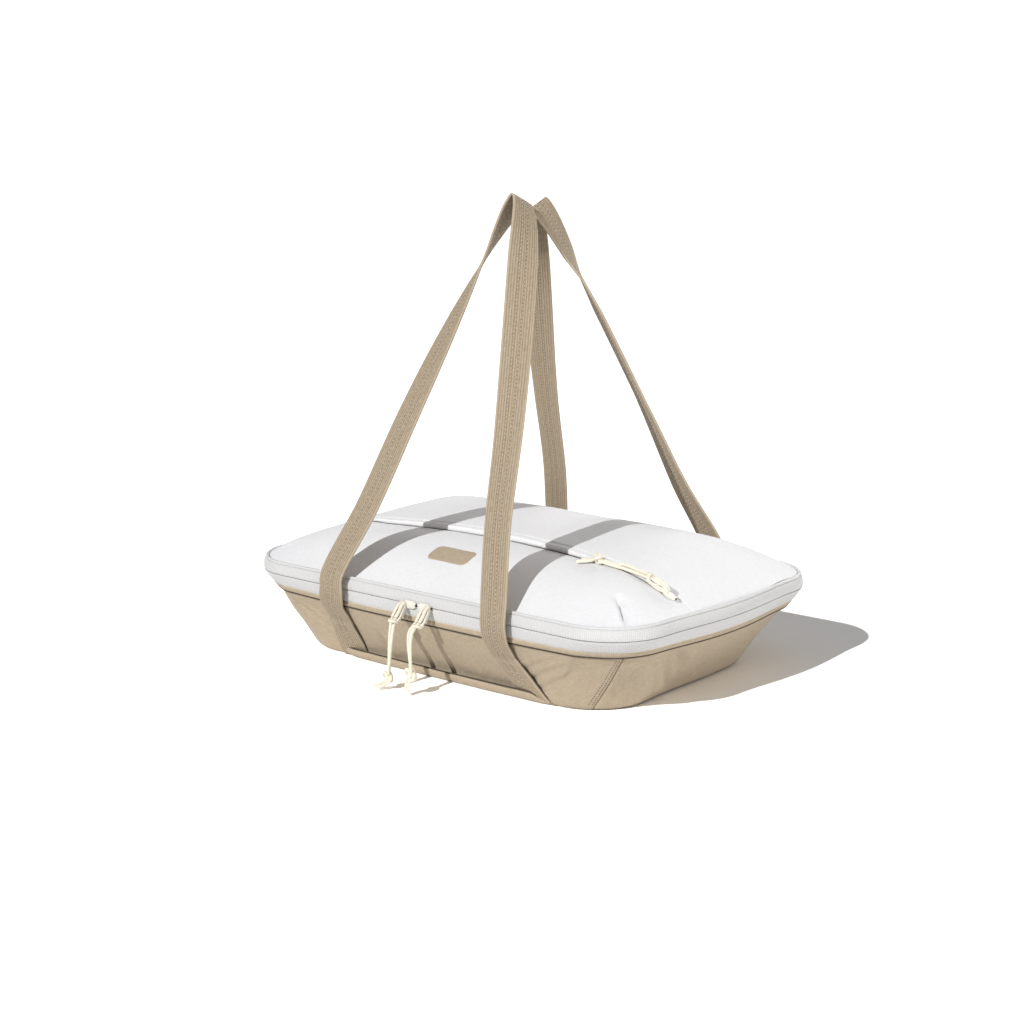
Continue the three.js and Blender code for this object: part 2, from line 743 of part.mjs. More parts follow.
// Outer face of the tub's wall on the given side, at a given x and height.
function wallPoint(x, z, side) {
  const share = rimShareAt(z);
  const spec = outlineSpec(share, wallRimInset * share);
  const reach = spec.halfLength - spec.endBow - spec.corner;
  const y = spec.halfWidth - spec.sideBow * (x / reach) ** 2;
  return new THREE.Vector3(x, side * y, z);
}

function wallNormal(x, z, side) {
  const up = wallPoint(x, z + canvas, side).sub(wallPoint(x, z, side)).normalize();
  const along = wallPoint(x + canvas, z, side).sub(wallPoint(x, z, side)).normalize();
  const normal = up.cross(along);
  return normal.y * side > 0 ? normal.normalize() : normal.negate().normalize();
}

const strapOffset = gap + webbingThickness / 2;

// A sewn end runs down the wall from the stitching and is cut level, behind the bottom strip.
function strapEnd(side, foot, flare) {
  const heights = evenly(strapEndSteps, stitchHeight - gap / 2, strapEndHeight);
  const slant = Math.hypot(1, flare / (stitchHeight - strapEndHeight));
  const sections = heights.map((z, i) => {
    const share = i / (heights.length - 1);
    const x = foot + Math.sign(foot) * flare * share;
    const across = wallPoint(x + canvas, z, side).sub(wallPoint(x, z, side)).normalize();
    const normal = wallNormal(x, z, side);
    const widening = THREE.MathUtils.lerp(1, slant, Math.min(1, 2 * share));
    const centre = wallPoint(x, z, side).addScaledVector(normal, strapOffset);
    return webbingSection(centre, across, normal, widening);
  });
  return sweepSections(sections, false);
}

addPiece('front_left_strap_end', strapEnd(-1, frontLoop.leftFoot, frontLeftFlare), 'webbing');
addPiece('front_right_strap_end', strapEnd(-1, frontLoop.rightFoot, frontRightFlare), 'webbing');
addPiece('back_left_strap_end', strapEnd(1, backLoop.leftFoot, backFlare), 'webbing');
addPiece('back_right_strap_end', strapEnd(1, backLoop.rightFoot, backFlare), 'webbing');

// Lower leg of a loop: up the wall from the stitching, out past the rim, and in again.
function lowerLeg(side, foot) {
  const start = wallPoint(foot, stitchHeight + gap / 2, side);
  start.addScaledVector(wallNormal(foot, stitchHeight, side), strapOffset);
  const clear = side * (rimWidth / 2 - bindingInset + 2 * gap + webbingThickness / 2);
  const atBinding = new THREE.Vector3(foot, clear, bindingLow);
  const bulge = side * (rimWidth / 2 + rimStandOff + webbingThickness / 2);
  const x = Math.sign(foot) * legSpread;
  return [
    start,
    start.clone().lerp(atBinding, 1 / 2),
    atBinding,
    new THREE.Vector3(x, bulge, zipLine),
    new THREE.Vector3(x, bulge - side * rimRestGap, rimBendTop),
  ];
}

function handleLoop({ side, apexX, apexY, apexZ, leftFoot, rightFoot, leftTwist, rightTwist }) {
  const apex = new THREE.Vector3(apexX, side * apexY, apexZ);
  const leg = (foot) => {
    const lower = lowerLeg(side, foot);
    const bend = lower[lower.length - 1];
    const leaning = legHeightShares.slice(1, -1).map((share, i) => new THREE.Vector3(
      THREE.MathUtils.lerp(apexX, bend.x, legSpreadShares[i + 1]),
      THREE.MathUtils.lerp(bend.y, apex.y, share),
      THREE.MathUtils.lerp(bend.z, apex.z, share),
    ));
    return [...lower, ...leaning];
  };
  const left = leg(leftFoot);
  const right = leg(rightFoot);
  const curve = new THREE.CatmullRomCurve3([...left, apex, ...right.reverse()], false, 'centripetal');
  curve.arcLengthDivisions = loopDivisions;
  const bend = left.find((point) => point.z === rimBendTop);
  const lean = new THREE.Vector3(0, apex.y - bend.y, apex.z - bend.z).normalize();
  const planeNormal = new THREE.Vector3(1, 0, 0).cross(lean).negate();
  const spacing = loopStations.map((share) => curve.getUtoTmapping(share));
  const apexShare = 1 / 2;
  const sections = spacing.map((t, i) => {
    const centre = curve.getPoint(t);
    const along = curve.getTangent(t).normalize();
    const climb = THREE.MathUtils.clamp((centre.z - bend.z) / (apex.z - bend.z), 0, 1);
    const twist = loopStations[i] < apexShare ? leftTwist : rightTwist;
    const turn = (Math.PI / 2) * readTable(twist.heightShares, twist.turnShares, climb);
    const ownNormal = new THREE.Vector3(0, Math.abs(along.z), -along.y * Math.sign(along.z)).normalize();
    const free = smoothStep((centre.z - zipLine) / (2 * (rimBendTop - zipLine)));
    const facing = ownNormal.lerp(planeNormal, free).normalize();
    const flat = facing.cross(along).normalize();
    const edge = along.clone().cross(flat).normalize();
    const across = flat.multiplyScalar(Math.cos(turn)).addScaledVector(edge, side * Math.sin(turn));
    return webbingSection(centre, across, along.clone().cross(across).normalize());
  });
  return sweepSections(sections, false);
}

// Stations along a loop, closer together where it bends at the rim and over the top.
const halfLoopStations = [
  ...evenly(loopEndSteps, 0, loopEndShare),
  ...evenly(loopLegSteps, loopEndShare, 1 / 2 - loopTopShare).slice(1),
  ...evenly(loopTopSteps / 2, 1 / 2 - loopTopShare, 1 / 2).slice(1),
];
const loopStations = [
  ...halfLoopStations,
  ...halfLoopStations.slice(0, -1).reverse().map((share) => 1 - share),
];

addPiece('front_handle_strap', handleLoop(frontLoop), 'webbing');
addPiece('back_handle_strap', handleLoop(backLoop), 'webbing');

// Bottom strips: a leaf of canvas over the strap ends, standing off the wall by the webbing
const stripGap = (gap * 2 + webbingThickness) / wallLeanShare + gap;
const stripProfile = [
  [rimShareAt(baseStripLift), -stripGap, baseStripLift],
  [rimShareAt(baseStripHeight), -stripGap, baseStripHeight],
  [rimShareAt(baseStripHeight), -stripGap - baseStripThickness, baseStripHeight],
  [rimShareAt(baseStripLift), -stripGap - baseStripThickness, baseStripLift],
];
const halfTurn = outlineCount / 2;
addPiece('front_base_strip', rimStretch(
  stripProfile,
  frontPosition(-baseStripLeft, 0),
  frontPosition(baseStripRight, 0),
), 'taupe');
addPiece('back_base_strip', rimStretch(
  stripProfile,
  halfTurn + frontPosition(-baseStripLeft, 0),
  halfTurn + frontPosition(baseStripLeft, 0),
), 'taupe');

// Zip sliders and pulls, each built on local axes: u across the pull, v the way it hangs, w off the surface

function closedSurface(geometry) {
  geometry.deleteAttribute('normal');
  geometry.deleteAttribute('uv');
  return mergeVertices(geometry);
}

function cordTube(points, radius, steps) {
  const section = new THREE.Shape().absarc(0, 0, radius, 0, 2 * Math.PI);
  const extrudePath = new THREE.CatmullRomCurve3(points, false, 'centripetal');
  const options = { steps, curveSegments: tubeSides / 2, bevelEnabled: false, extrudePath };
  return closedSurface(new THREE.ExtrudeGeometry(section, options));
}

function wireLoop(points, radius) {
  const curve = new THREE.CatmullRomCurve3(points, true, 'centripetal');
  return closedSurface(new THREE.TubeGeometry(curve, wireSteps, radius, wireSides, true));
}

function localPlace(origin, u, v, w) {
  return (a, b, c) => origin.clone().addScaledVector(u, a).addScaledVector(v, b).addScaledVector(w, c);
}

function placeSolid(geometry, place) {
  const positions = geometry.getAttribute('position');
  const vertices = [];
  for (let i = 0; i < positions.count; i += 1) {
    vertices.push(place(positions.getX(i), positions.getY(i), positions.getZ(i)));
  }
  const index = geometry.getIndex().array;
  const triangles = [];
  for (let i = 0; i < index.length; i += 3) triangles.push([index[i], index[i + 1], index[i + 2]]);
  return solidGeometry(vertices, triangles);
}

// The crown is a staple over the ring's top bar, set along the slider or across it.
function crownSolid(centre, crownAlong) {
  const inner = wireRadius + gap;
  const outer = inner + crownThickness;
  const base = sliderThickness - gap;
  const middle = sliderThickness + inner;
  const rail = (radius) => {
    const points = [[-radius, base]];
    for (let i = 0; i <= capSteps; i += 1) {
      const angle = Math.PI * (1 - i / capSteps);
      points.push([radius * Math.cos(angle), middle + radius * Math.sin(angle)]);
    }
    points.push([radius, base]);
    return points;
  };
  const at = (reach, side, height) => (crownAlong
    ? new THREE.Vector3(centre + reach, (side * crownWidth) / 2, height)
    : new THREE.Vector3(centre + (side * crownWidth) / 2, reach, height));
  const innerRail = rail(inner);
  const sections = rail(outer).map(([b, c], i) => {
    const [ib, ic] = innerRail[i];
    return [at(b, -1, c), at(b, 1, c), at(ib, 1, ic), at(ib, -1, ic)];
  });
  return sweepSections(sections, false);
}

// A slider's plate narrows towards both ends under its crown.
function sliderSolid(noseSign, crownAlong) {
  const half = sliderLength / 2;
  const wide = sliderWidth / 2;
  const narrow = wide / 2;
  const outline = [
    [-half, -narrow], [-half + sliderNose, -wide], [half - sliderNose, -wide], [half, -narrow],
    [half, narrow], [half - sliderNose, wide], [-half + sliderNose, wide], [-half, narrow],
  ];
  const taper = 1 - canvas / sliderWidth;
  const plate = stackRings([
    outline.map(([a, b]) => new THREE.Vector3(a, b, 0)),
    outline.map(([a, b]) => new THREE.Vector3(a, b, sliderThickness / 2)),
    outline.map(([a, b]) => new THREE.Vector3(a * taper, b * taper, sliderThickness)),
  ]);
  return fromSolid(toSolid(plate).add(toSolid(crownSolid(noseSign * (half - crownEndInset), crownAlong))));
}

const crownHeight = sliderThickness + wireRadius + gap;

// The wire ring: a long loop with its top bar in the crown and its bottom bar in the cord's hitch.
function ringSolid(place) {
  const half = ringWidth / 2;
  const bend = half * (1 - Math.SQRT1_2);
  const points = [
    [0, 0], [half - bend, 0], [half, bend], [half, ringLength / 2], [half, ringLength - bend],
    [half - bend, ringLength], [0, ringLength], [-half + bend, ringLength], [-half, ringLength - bend],
    [-half, ringLength / 2], [-half, bend], [-half + bend, 0],
  ];
  return wireLoop(points.map(([a, b]) => place(a, b, 0)), wireRadius);
}

// One end of the cord's hitch: from the middle of its bight over the ring's bottom bar and down behind.
function hitchTurn(place, sign) {
  const reach = wireRadius + hitchSlack + cordRadius;
  const points = [];
  for (let i = 0; i <= hitchSteps; i += 1) {
    const angle = Math.PI * THREE.MathUtils.lerp(-hitchWrapShare, 1 + hitchWrapShare, i / hitchSteps);
    const across = (sign * cordSpacing) / 2;
    points.push(place(across, ringLength - reach * Math.sin(angle), reach * Math.cos(angle)));
  }
  return points;
}

// The whole cord as one tube: tail, strand, hitch, strand, tail, and the knot that joins the strands.
function pullCord(place, strands, knot) {
  const bight = place(0, ringLength + bightDrop, wireRadius + hitchSlack + 2 * cordRadius);
  const [left, right] = [-1, 1].map((sign, i) => [...hitchTurn(place, sign), ...strands[i]]);
  const cord = cordTube([...left.reverse(), bight, ...right], cordRadius, cordSteps);
  return fromSolid(toSolid(cord).add(toSolid(knot)));
}

function knotSolid(place) {
  const rings = knotHeightShares.map((share, level) => {
    const ring = [];
    for (let i = 0; i < knotSides; i += 1) {
      const angle = (2 * Math.PI * i) / knotSides;
      const lobe = 1 + knotLobeShare * Math.cos(knotLobes * angle + 2 * share * Math.PI);
      const radius = knotRadius * knotWidthShares[level] * lobe;
      ring.push(place(radius * Math.cos(angle), knotHeight * (share - 1 / 2), radius * Math.sin(angle)));
    }
    return ring;
  });
  return stackRings(rings);
}

// Each hanging cord: its knot's place below and in front of the ring, and its tails from the knot, by eye.
const leftCord = {
  knotDrop: 46.5,
  knotForward: 8,
  sway: 0,
  tails: [
    [[-2.2, -3.4, -4.4], [-4.6, -7.6, -7], [-7.6, -11.4, -7.5]],
    [[1.4, -3.8, -4.6], [1.8, -8.2, -7], [-0.4, -12.8, -7.5]],
  ],
};
const rightCord = {
  knotDrop: 41,
  knotForward: 7.4,
  sway: -1.6,
  tails: [
    [[-1.6, -1.6, -5], [-2, -4.2, -9.6], [-1.8, -8, -12.6]],
    [[1.4, -1.4, -5], [1.8, -3.6, -9.8], [2.4, -6.8, -13]],
  ],
};

function vectorAt(origin, [x, y, z]) {
  return new THREE.Vector3(origin.x + x, origin.y + y, origin.z + z);
}

function hangingStrands(bar, { knotDrop, knotForward, sway, tails }) {
  return [-1, 1].map((sign, i) => {
    const strand = strandShares.map((share) => vectorAt(bar, [
      (sign * cordSpacing) / 2 + sway * Math.sin(Math.PI * share),
      -knotForward * share,
      -knotDrop * share,
    ]));
    const knot = vectorAt(bar, [(sign * cordSpacing) / 4, -knotForward, -knotDrop]);
    const middle = vectorAt(bar, [0, -knotForward, -knotDrop]);
    return [...strand, knot, ...tails[i].map((offset) => vectorAt(middle, offset))];
  });
}

function frontPull(name, x, cord) {
  const facing = new THREE.Vector3(0, -1, 0);
  const across = new THREE.Vector3(1, 0, 0);
  const downward = new THREE.Vector3(0, 0, -1);
  const plateFace = -rimWidth / 2 + tapeTopInset - gap;
  const noseSign = Math.sign(x - sliderMeeting);
  const middle = sliderMeeting + noseSign * (sliderSeparation / 2 + sliderLength / 2);
  const seat = new THREE.Vector3(middle, plateFace, zipLine);
  const sliderPlace = localPlace(seat, across, downward.clone().negate(), facing);
  addPiece(`${name}_zip_slider`, placeSolid(sliderSolid(noseSign, false), sliderPlace), 'enamel');

  const pivot = new THREE.Vector3(x, plateFace - crownHeight, zipLine);
  const tilt = THREE.MathUtils.degToRad(ringTiltDegrees);
  const down = new THREE.Vector3(0, -Math.sin(tilt), -Math.cos(tilt));
  const outward = new THREE.Vector3(0, -Math.cos(tilt), Math.sin(tilt));
  const place = localPlace(pivot, across, down, outward);
  addPiece(`${name}_pull_ring`, ringSolid(place), 'enamel');

  const bar = place(0, ringLength, 0);
  const knotSpot = vectorAt(bar, [0, -cord.knotForward, -cord.knotDrop]);
  const knot = knotSolid(localPlace(knotSpot, across, downward, facing));
  addPiece(`${name}_pull_cord`, pullCord(place, hangingStrands(bar, cord), knot), 'cord');
}

const crownOffset = sliderSeparation / 2 + sliderLength - crownEndInset;
frontPull('left', sliderMeeting - crownOffset, leftCord);
frontPull('right', sliderMeeting + crownOffset, rightCord);

// The pocket's slider sits at the right end of the seam, and its pull lies back along the seam.
const pocketSliderX = rimLength / 2 - pocketSliderInset;
const pocketCoilY = (x) => seamY(x) - zipChannel / 2;
const pocketSlope = (pocketHeight(pocketSliderX - ringLength, pocketCoilY(pocketSliderX))
  - pocketHeight(pocketSliderX, pocketCoilY(pocketSliderX))) / ringLength;
const pocketAlong = new THREE.Vector3(-1, 0, pocketSlope).normalize();
const pocketAcross = new THREE.Vector3(0, 1, 0);
const pocketUp = pocketAlong.clone().cross(pocketAcross).negate();
const pocketSeat = new THREE.Vector3(
  pocketSliderX,
  pocketCoilY(pocketSliderX),
  pocketHeight(pocketSliderX, pocketCoilY(pocketSliderX)),
).addScaledVector(pocketUp, weltRise + pocketSliderLift);

const pocketSliderPlace = localPlace(pocketSeat, pocketAlong, pocketAcross, pocketUp);
addPiece('pocket_zip_slider', placeSolid(sliderSolid(1, true), pocketSliderPlace), 'enamel');
const pocketPivot = pocketSeat.clone()
  .addScaledVector(pocketAlong, sliderLength / 2 - crownEndInset)
  .addScaledVector(pocketUp, crownHeight);
const pocketPlace = localPlace(pocketPivot, pocketAcross, pocketAlong, pocketUp);
addPiece('pocket_pull_ring', ringSolid(pocketPlace), 'enamel');

// Route of the pocket cord as [x and y from the slider, height of its underside above the lid], by eye.
const pocketRoute = [
  [-22.5, 2.5, 2.6], [-28, 2.3, 1.9], [-36, 1.7, 1.2], [-44, 0.5, 1], [-52, -1.5, 1], [-60, -3, 2],
];
const pocketKnotSpot = [-65.6, -3.5, 0.8];
const pocketTailSpots = [
  [[-70.8, -5.3, 1.8], [-75.5, -8, 1], [-81, -11.5, 0.8]],
  [[-70.8, -2.1, 1.8], [-75, -3.5, 1], [-80.5, -6, 0.8]],
];
const lidTop = (x, y) => (y > seamY(x) ? domeHeight(x, y) + weltRise : pocketHeight(x, y));
function fromSlider([along, aside, lift], shift, radius) {
  const x = pocketSliderX + along;
  const y = pocketCoilY(pocketSliderX) + aside - shift;
  return new THREE.Vector3(x, y, lidTop(x, y) + lift + radius);
}
const pocketStrands = [-1, 1].map((sign, i) => [
  ...pocketRoute.map((spot) => fromSlider(spot, (sign * cordSpacing) / 2, cordRadius)),
  fromSlider(pocketKnotSpot, (sign * cordSpacing) / 4, knotRadius),
  ...pocketTailSpots[1 - i].map((spot) => fromSlider(spot, 0, cordRadius)),
]);
const pocketKnot = knotSolid(localPlace(
  fromSlider(pocketKnotSpot, 0, knotRadius),
  new THREE.Vector3(0, 1, 0),
  new THREE.Vector3(-1, 0, 0),
  new THREE.Vector3(0, 0, 1),
));
addPiece('pocket_pull_cord', pullCord(pocketPlace, pocketStrands, pocketKnot), 'cord');

export default carrier;
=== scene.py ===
"""Visual model of a soft insulated casserole carrier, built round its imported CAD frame.

Shapes are worked out in millimetres, with +Z up, +X along the carrier and -Y towards the zip pulls.
They become metres where a mesh or curve is made.
"""

from __future__ import annotations

import logging
import math
from collections.abc import Callable, Iterable, Sequence
from dataclasses import dataclass, field
from enum import Enum
from itertools import product
from typing import TypeVar

import bmesh
import bpy
import numpy as np
from mathutils import Matrix, Vector, noise

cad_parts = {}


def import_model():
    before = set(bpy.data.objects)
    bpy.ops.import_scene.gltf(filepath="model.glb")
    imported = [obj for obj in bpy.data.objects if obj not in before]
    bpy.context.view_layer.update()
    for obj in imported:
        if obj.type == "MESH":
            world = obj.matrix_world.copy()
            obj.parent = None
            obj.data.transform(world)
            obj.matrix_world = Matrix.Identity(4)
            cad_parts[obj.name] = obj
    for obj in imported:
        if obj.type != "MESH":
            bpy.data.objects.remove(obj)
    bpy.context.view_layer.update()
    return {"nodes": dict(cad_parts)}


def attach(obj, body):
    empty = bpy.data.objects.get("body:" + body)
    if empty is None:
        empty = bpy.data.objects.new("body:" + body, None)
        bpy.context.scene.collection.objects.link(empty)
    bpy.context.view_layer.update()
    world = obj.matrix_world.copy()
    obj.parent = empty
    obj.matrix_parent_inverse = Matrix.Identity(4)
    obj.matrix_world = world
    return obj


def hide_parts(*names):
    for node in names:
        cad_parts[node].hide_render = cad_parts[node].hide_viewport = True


LOG = logging.getLogger("carrier")
MM = 0.001

CORD_RADIUS = 1.4
STRAP_HALF = 12.5
STRAP_THICKNESS = 2.2
STRAP_ROWS = (-2.6, 2.7)
SEW_HEIGHT = 40
UP = Vector((0, 0, 1))
RIGHT = Vector((1, 0, 0))

Colour = tuple[float, float, float]
Line = tuple[float, float, float, float]
Place = Callable[[float, float], Vector]
Chart = Callable[[float, float], tuple[float, float]]
Socket = bpy.types.NodeSocket
Input = float | Socket
Measure = TypeVar("Measure", float, Vector)


class Slot(Enum):
    """Material slots of the record, which each piece's fitting holds."""

    TAUPE = "canvas_taupe"
    WEBBING = "webbing"
    WHITE = "canvas_white"
    TAPE = "zip_tape"
    COIL = "zip_coil"
    LINING = "foil_lining"
    ENAMEL = "enamel"
    CORD = "cotton_cord"


class Side(Enum):
    """The two long sides of the carrier, with the sign of their Y."""

    FRONT = -1
    BACK = 1


# Small maths


def lerp(a: Measure, b: Measure, share: float) -> Measure:
    """Value between a and b, for numbers or vectors."""
    return a + (b - a) * share


def clamp(value: float) -> float:
    """The value kept between 0 and 1."""
    return min(1.0, max(0.0, value))


def smooth_step(value: float) -> float:
    """Smooth rise from 0 to 1 as the value goes from 0 to 1."""
    t = clamp(value)
    return t * t * (3 - 2 * t)


def arch(share: float) -> float:
    """Half a sine wave: 0 at the shares 0 and 1, and 1 halfway between them."""
    return math.sin(math.pi * clamp(share))


def bell(distance: float, width: float) -> float:
    """Bell-shaped bump of height 1 about zero."""
    return math.exp(-((distance / width) ** 2))


def ripple(x: float, y: float, scale: float, seed: float) -> float:
    """Repeatable soft noise, about -1 to 1, that varies over the given scale."""
    return noise.noise(Vector((x / scale, y / scale, seed)))


def as_rows(points: Iterable[Vector]) -> np.ndarray:
    """Points as an array with one row each."""
    return np.array([list(p) for p in points])


def running_length(points: Iterable[Vector]) -> np.ndarray:
    """Distance along a line, at each of its points."""
    steps = np.linalg.norm(np.diff(as_rows(points), axis=0), axis=1)
    return np.concatenate([[0], np.cumsum(steps)])


def along_line(where: float | np.ndarray, arcs: np.ndarray, rows: np.ndarray) -> np.ndarray:
    """Rows read off at one or more distances along their line."""
    return np.stack([np.interp(where, arcs, rows[:, k]) for k in range(3)], -1)


def smooth_path(points: Sequence[Vector], spacing: float) -> list[Vector]:
    """Centripetal Catmull-Rom curve through the points, cut into nearly even steps.

    Args:
        points: The points that the curve passes through.
        spacing: The wanted distance between samples.

    Returns:
        Samples from the first point to the last.
    """
    samples = 24
    ends = [points[0] * 2 - points[1], *points, points[-1] * 2 - points[-2]]
    dense: list[Vector] = []
    for a, b, c, d in zip(ends, ends[1:], ends[2:], ends[3:]):
        d0, d1, d2 = (max(1e-4, (q - p).length) ** 0.5 for p, q in ((a, b), (b, c), (c, d)))
        t1 = ((b - a) / d0 - (c - a) / (d0 + d1) + (c - b) / d1) * d1
        t2 = ((c - b) / d1 - (d - b) / (d1 + d2) + (d - c) / d2) * d1
        for s in (i / samples for i in range(samples)):
            point = b + t1 * s + (c * 3 - b * 3 - t1 * 2 - t2) * s**2
            dense.append(point + (b * 2 - c * 2 + t1 + t2) * s**3)
    dense.append(points[-1].copy())
    arcs = running_length(dense)
    wanted = np.linspace(0, arcs[-1], max(2, round(arcs[-1] / spacing)) + 1)
    return [Vector(p) for p in along_line(wanted, arcs, as_rows(dense))]


def tangents(points: Sequence[Vector]) -> list[Vector]:
    """Unit direction of travel at each point."""
    before, after = [points[0], *points[:-1]], [*points[1:], points[-1]]
    return [(b - a).normalized() for a, b in zip(before, after)]


def beside(x: float, y: float, line: Line) -> tuple[float, float]:
    """Share of the way along a line (ax, ay, bx, by), and the distance to its right."""
    along = Vector((line[2] - line[0], line[3] - line[1]))
    offset = Vector((x - line[0], y - line[1]))
    return offset.dot(along) / along.length_squared, offset.cross(along) / along.length


# Meshes and objects


def mapped_sheet(
    columns: int, rows: int, place: Place, chart: Chart | None = None, closed: bool = False
) -> bmesh.types.BMesh:
    """Bends a grid into shape and lays out its UVs in millimetres.

    Args:
        columns: Faces along u.
        rows: Faces along v.
        place: Position in millimetres for u and v from 0 to 1.
        chart: UV in millimetres for u and v from 0 to 1; without it the UVs are x and y.
        closed: Whether edges that meet are joined, loops left open are capped, and faces turned outward.

    Returns:
        The new mesh.
    """
    bm = bmesh.new()
    layer = bm.loops.layers.uv.new("UVMap")
    bmesh.ops.create_grid(bm, x_segments=columns, y_segments=rows, size=0.5, calc_uvs=True)
    for vert in bm.verts:
        vert.co = place(vert.co.x + 0.5, vert.co.y + 0.5) * MM
    for loop in (loop for face in bm.faces for loop in face.loops):
        loop[layer].uv = chart(*loop[layer].uv) if chart else loop.vert.co.xy / MM
    if closed:
        bmesh.ops.remove_doubles(bm, verts=bm.verts, dist=1e-7)
        open_edges = [e for e in bm.edges if e.is_boundary]
        if open_edges:
            bmesh.ops.edgeloop_fill(bm, edges=open_edges)
        bmesh.ops.recalc_face_normals(bm, faces=bm.faces)
    return bm


@dataclass(frozen=True)
class Fitting:
    """How a finished piece belongs to the frame.

    Attributes:
        body: CAD body that it moves with.
        slot: Record slot of its finish; not used.
        material: Its finish.
        stands_for: CAD nodes that it replaces.
    """

    body: str
    slot: Slot
    material: bpy.types.Material
    stands_for: tuple[str, ...] = ()

    def attach(self, name: str, data: bpy.types.Mesh | bpy.types.Curve) -> bpy.types.Object:
        """Makes an object with its material and body, and hides the nodes it stands for."""
        data.materials.append(self.material)
        piece = bpy.data.objects.new(name, data)
        bpy.context.scene.collection.objects.link(piece)
        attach(piece, self.body)
        if self.stands_for:
            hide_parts(*self.stands_for)
        return piece


def mesh_piece(
    name: str, bm: bmesh.types.BMesh, fitting: Fitting, thickness: float = 0, sharp: float = 50
) -> bpy.types.Object:
    """Makes an object from a mesh under construction.

    Args:
        name: Name of the new object.
        bm: The mesh, which is freed.
        fitting: Where the piece belongs.
        thickness: Millimetres of cloth added on the inner side, or zero for a closed body.
        sharp: Angle in degrees above which an edge shades sharp.

    Returns:
        The new object.
    """
    mesh = bpy.data.meshes.new(name)
    bm.to_mesh(mesh)
    bm.free()
    mesh.polygons.foreach_set("use_smooth", [True] * len(mesh.polygons))
    mesh.set_sharp_from_angle(angle=math.radians(sharp))
    piece = fitting.attach(name, mesh)
    if thickness:
        cloth = piece.modifiers.new("cloth", "SOLIDIFY")
        cloth.thickness = thickness * MM
        cloth.offset = -1
    return piece


def curve_piece(
    name: str, points: Sequence[Vector], radius: float, fitting: Fitting, closed: bool = False
) -> bpy.types.Object:
    """Makes a round wire or cord along points in millimetres, as one spline."""
    data = bpy.data.curves.new(name, "CURVE")
    data.dimensions = "3D"
    data.bevel_depth = radius * MM
    data.bevel_resolution = 3
    data.use_fill_caps = not closed
    spline = data.splines.new("POLY")
    spline.points.add(len(points) - 1)
    for target, point in zip(spline.points, points):
        target.co = (*(point * MM), 1)
    spline.use_cyclic_u = closed
    spline.use_smooth = True
    return fitting.attach(name, data)


def add_bead(bm: bmesh.types.BMesh, centre: Vector, along: Vector, up: Vector, size: Vector) -> None:
    """Adds one small rounded stitch, size being its length, width and height in millimetres."""
    side = up.cross(along).normalized()
    lift = along.cross(side).normalized()
    turn = Matrix((along, side, lift)).transposed().to_4x4()
    matrix = Matrix.Translation(centre * MM) @ turn @ Matrix.Diagonal((*(size * MM / 2), 1))
    bmesh.ops.create_icosphere(bm, subdivisions=1, radius=1, matrix=matrix)


@dataclass(frozen=True)
class Seam:
    """A row of stitches along a line.

    Attributes:
        line: Points that the row follows.
        ups: Outward direction at each of them, or one for all.
        pitch: Distance from one stitch to the next.
        size: Length, width and height of a stitch.
    """

    line: Sequence[Vector]
    ups: Sequence[Vector] | Vector
    pitch: float = 3.4
    size: tuple[float, float, float] = (2.3, 0.75, 0.6)

    def sew(self, bm: bmesh.types.BMesh) -> None:
        """Adds the stitches to a mesh."""
        arcs, rows = running_length(self.line), as_rows(self.line)
        ups = [self.ups] * len(rows) if isinstance(self.ups, Vector) else self.ups
        raised = as_rows(ups)
        quarter = self.pitch / 4
        for i in range(int(arcs[-1] / self.pitch)):
            middle = (i + 0.5) * self.pitch
            start, end, centre = (
                Vector(along_line(at, arcs, rows)) for at in (middle - quarter, middle + quarter, middle)
            )
            up = Vector(along_line(middle, arcs, raised))
            add_bead(bm, centre, (end - start).normalized(), up, Vector(self.size))


def sewn_piece(name: str, seams: Iterable[Seam], fitting: Fitting) -> bpy.types.Object:
    """Makes one object of all the stitches of some seams."""
    bm = bmesh.new()
    for seam in seams:
        seam.sew(bm)
    return mesh_piece(name, bm, fitting)


# Materials


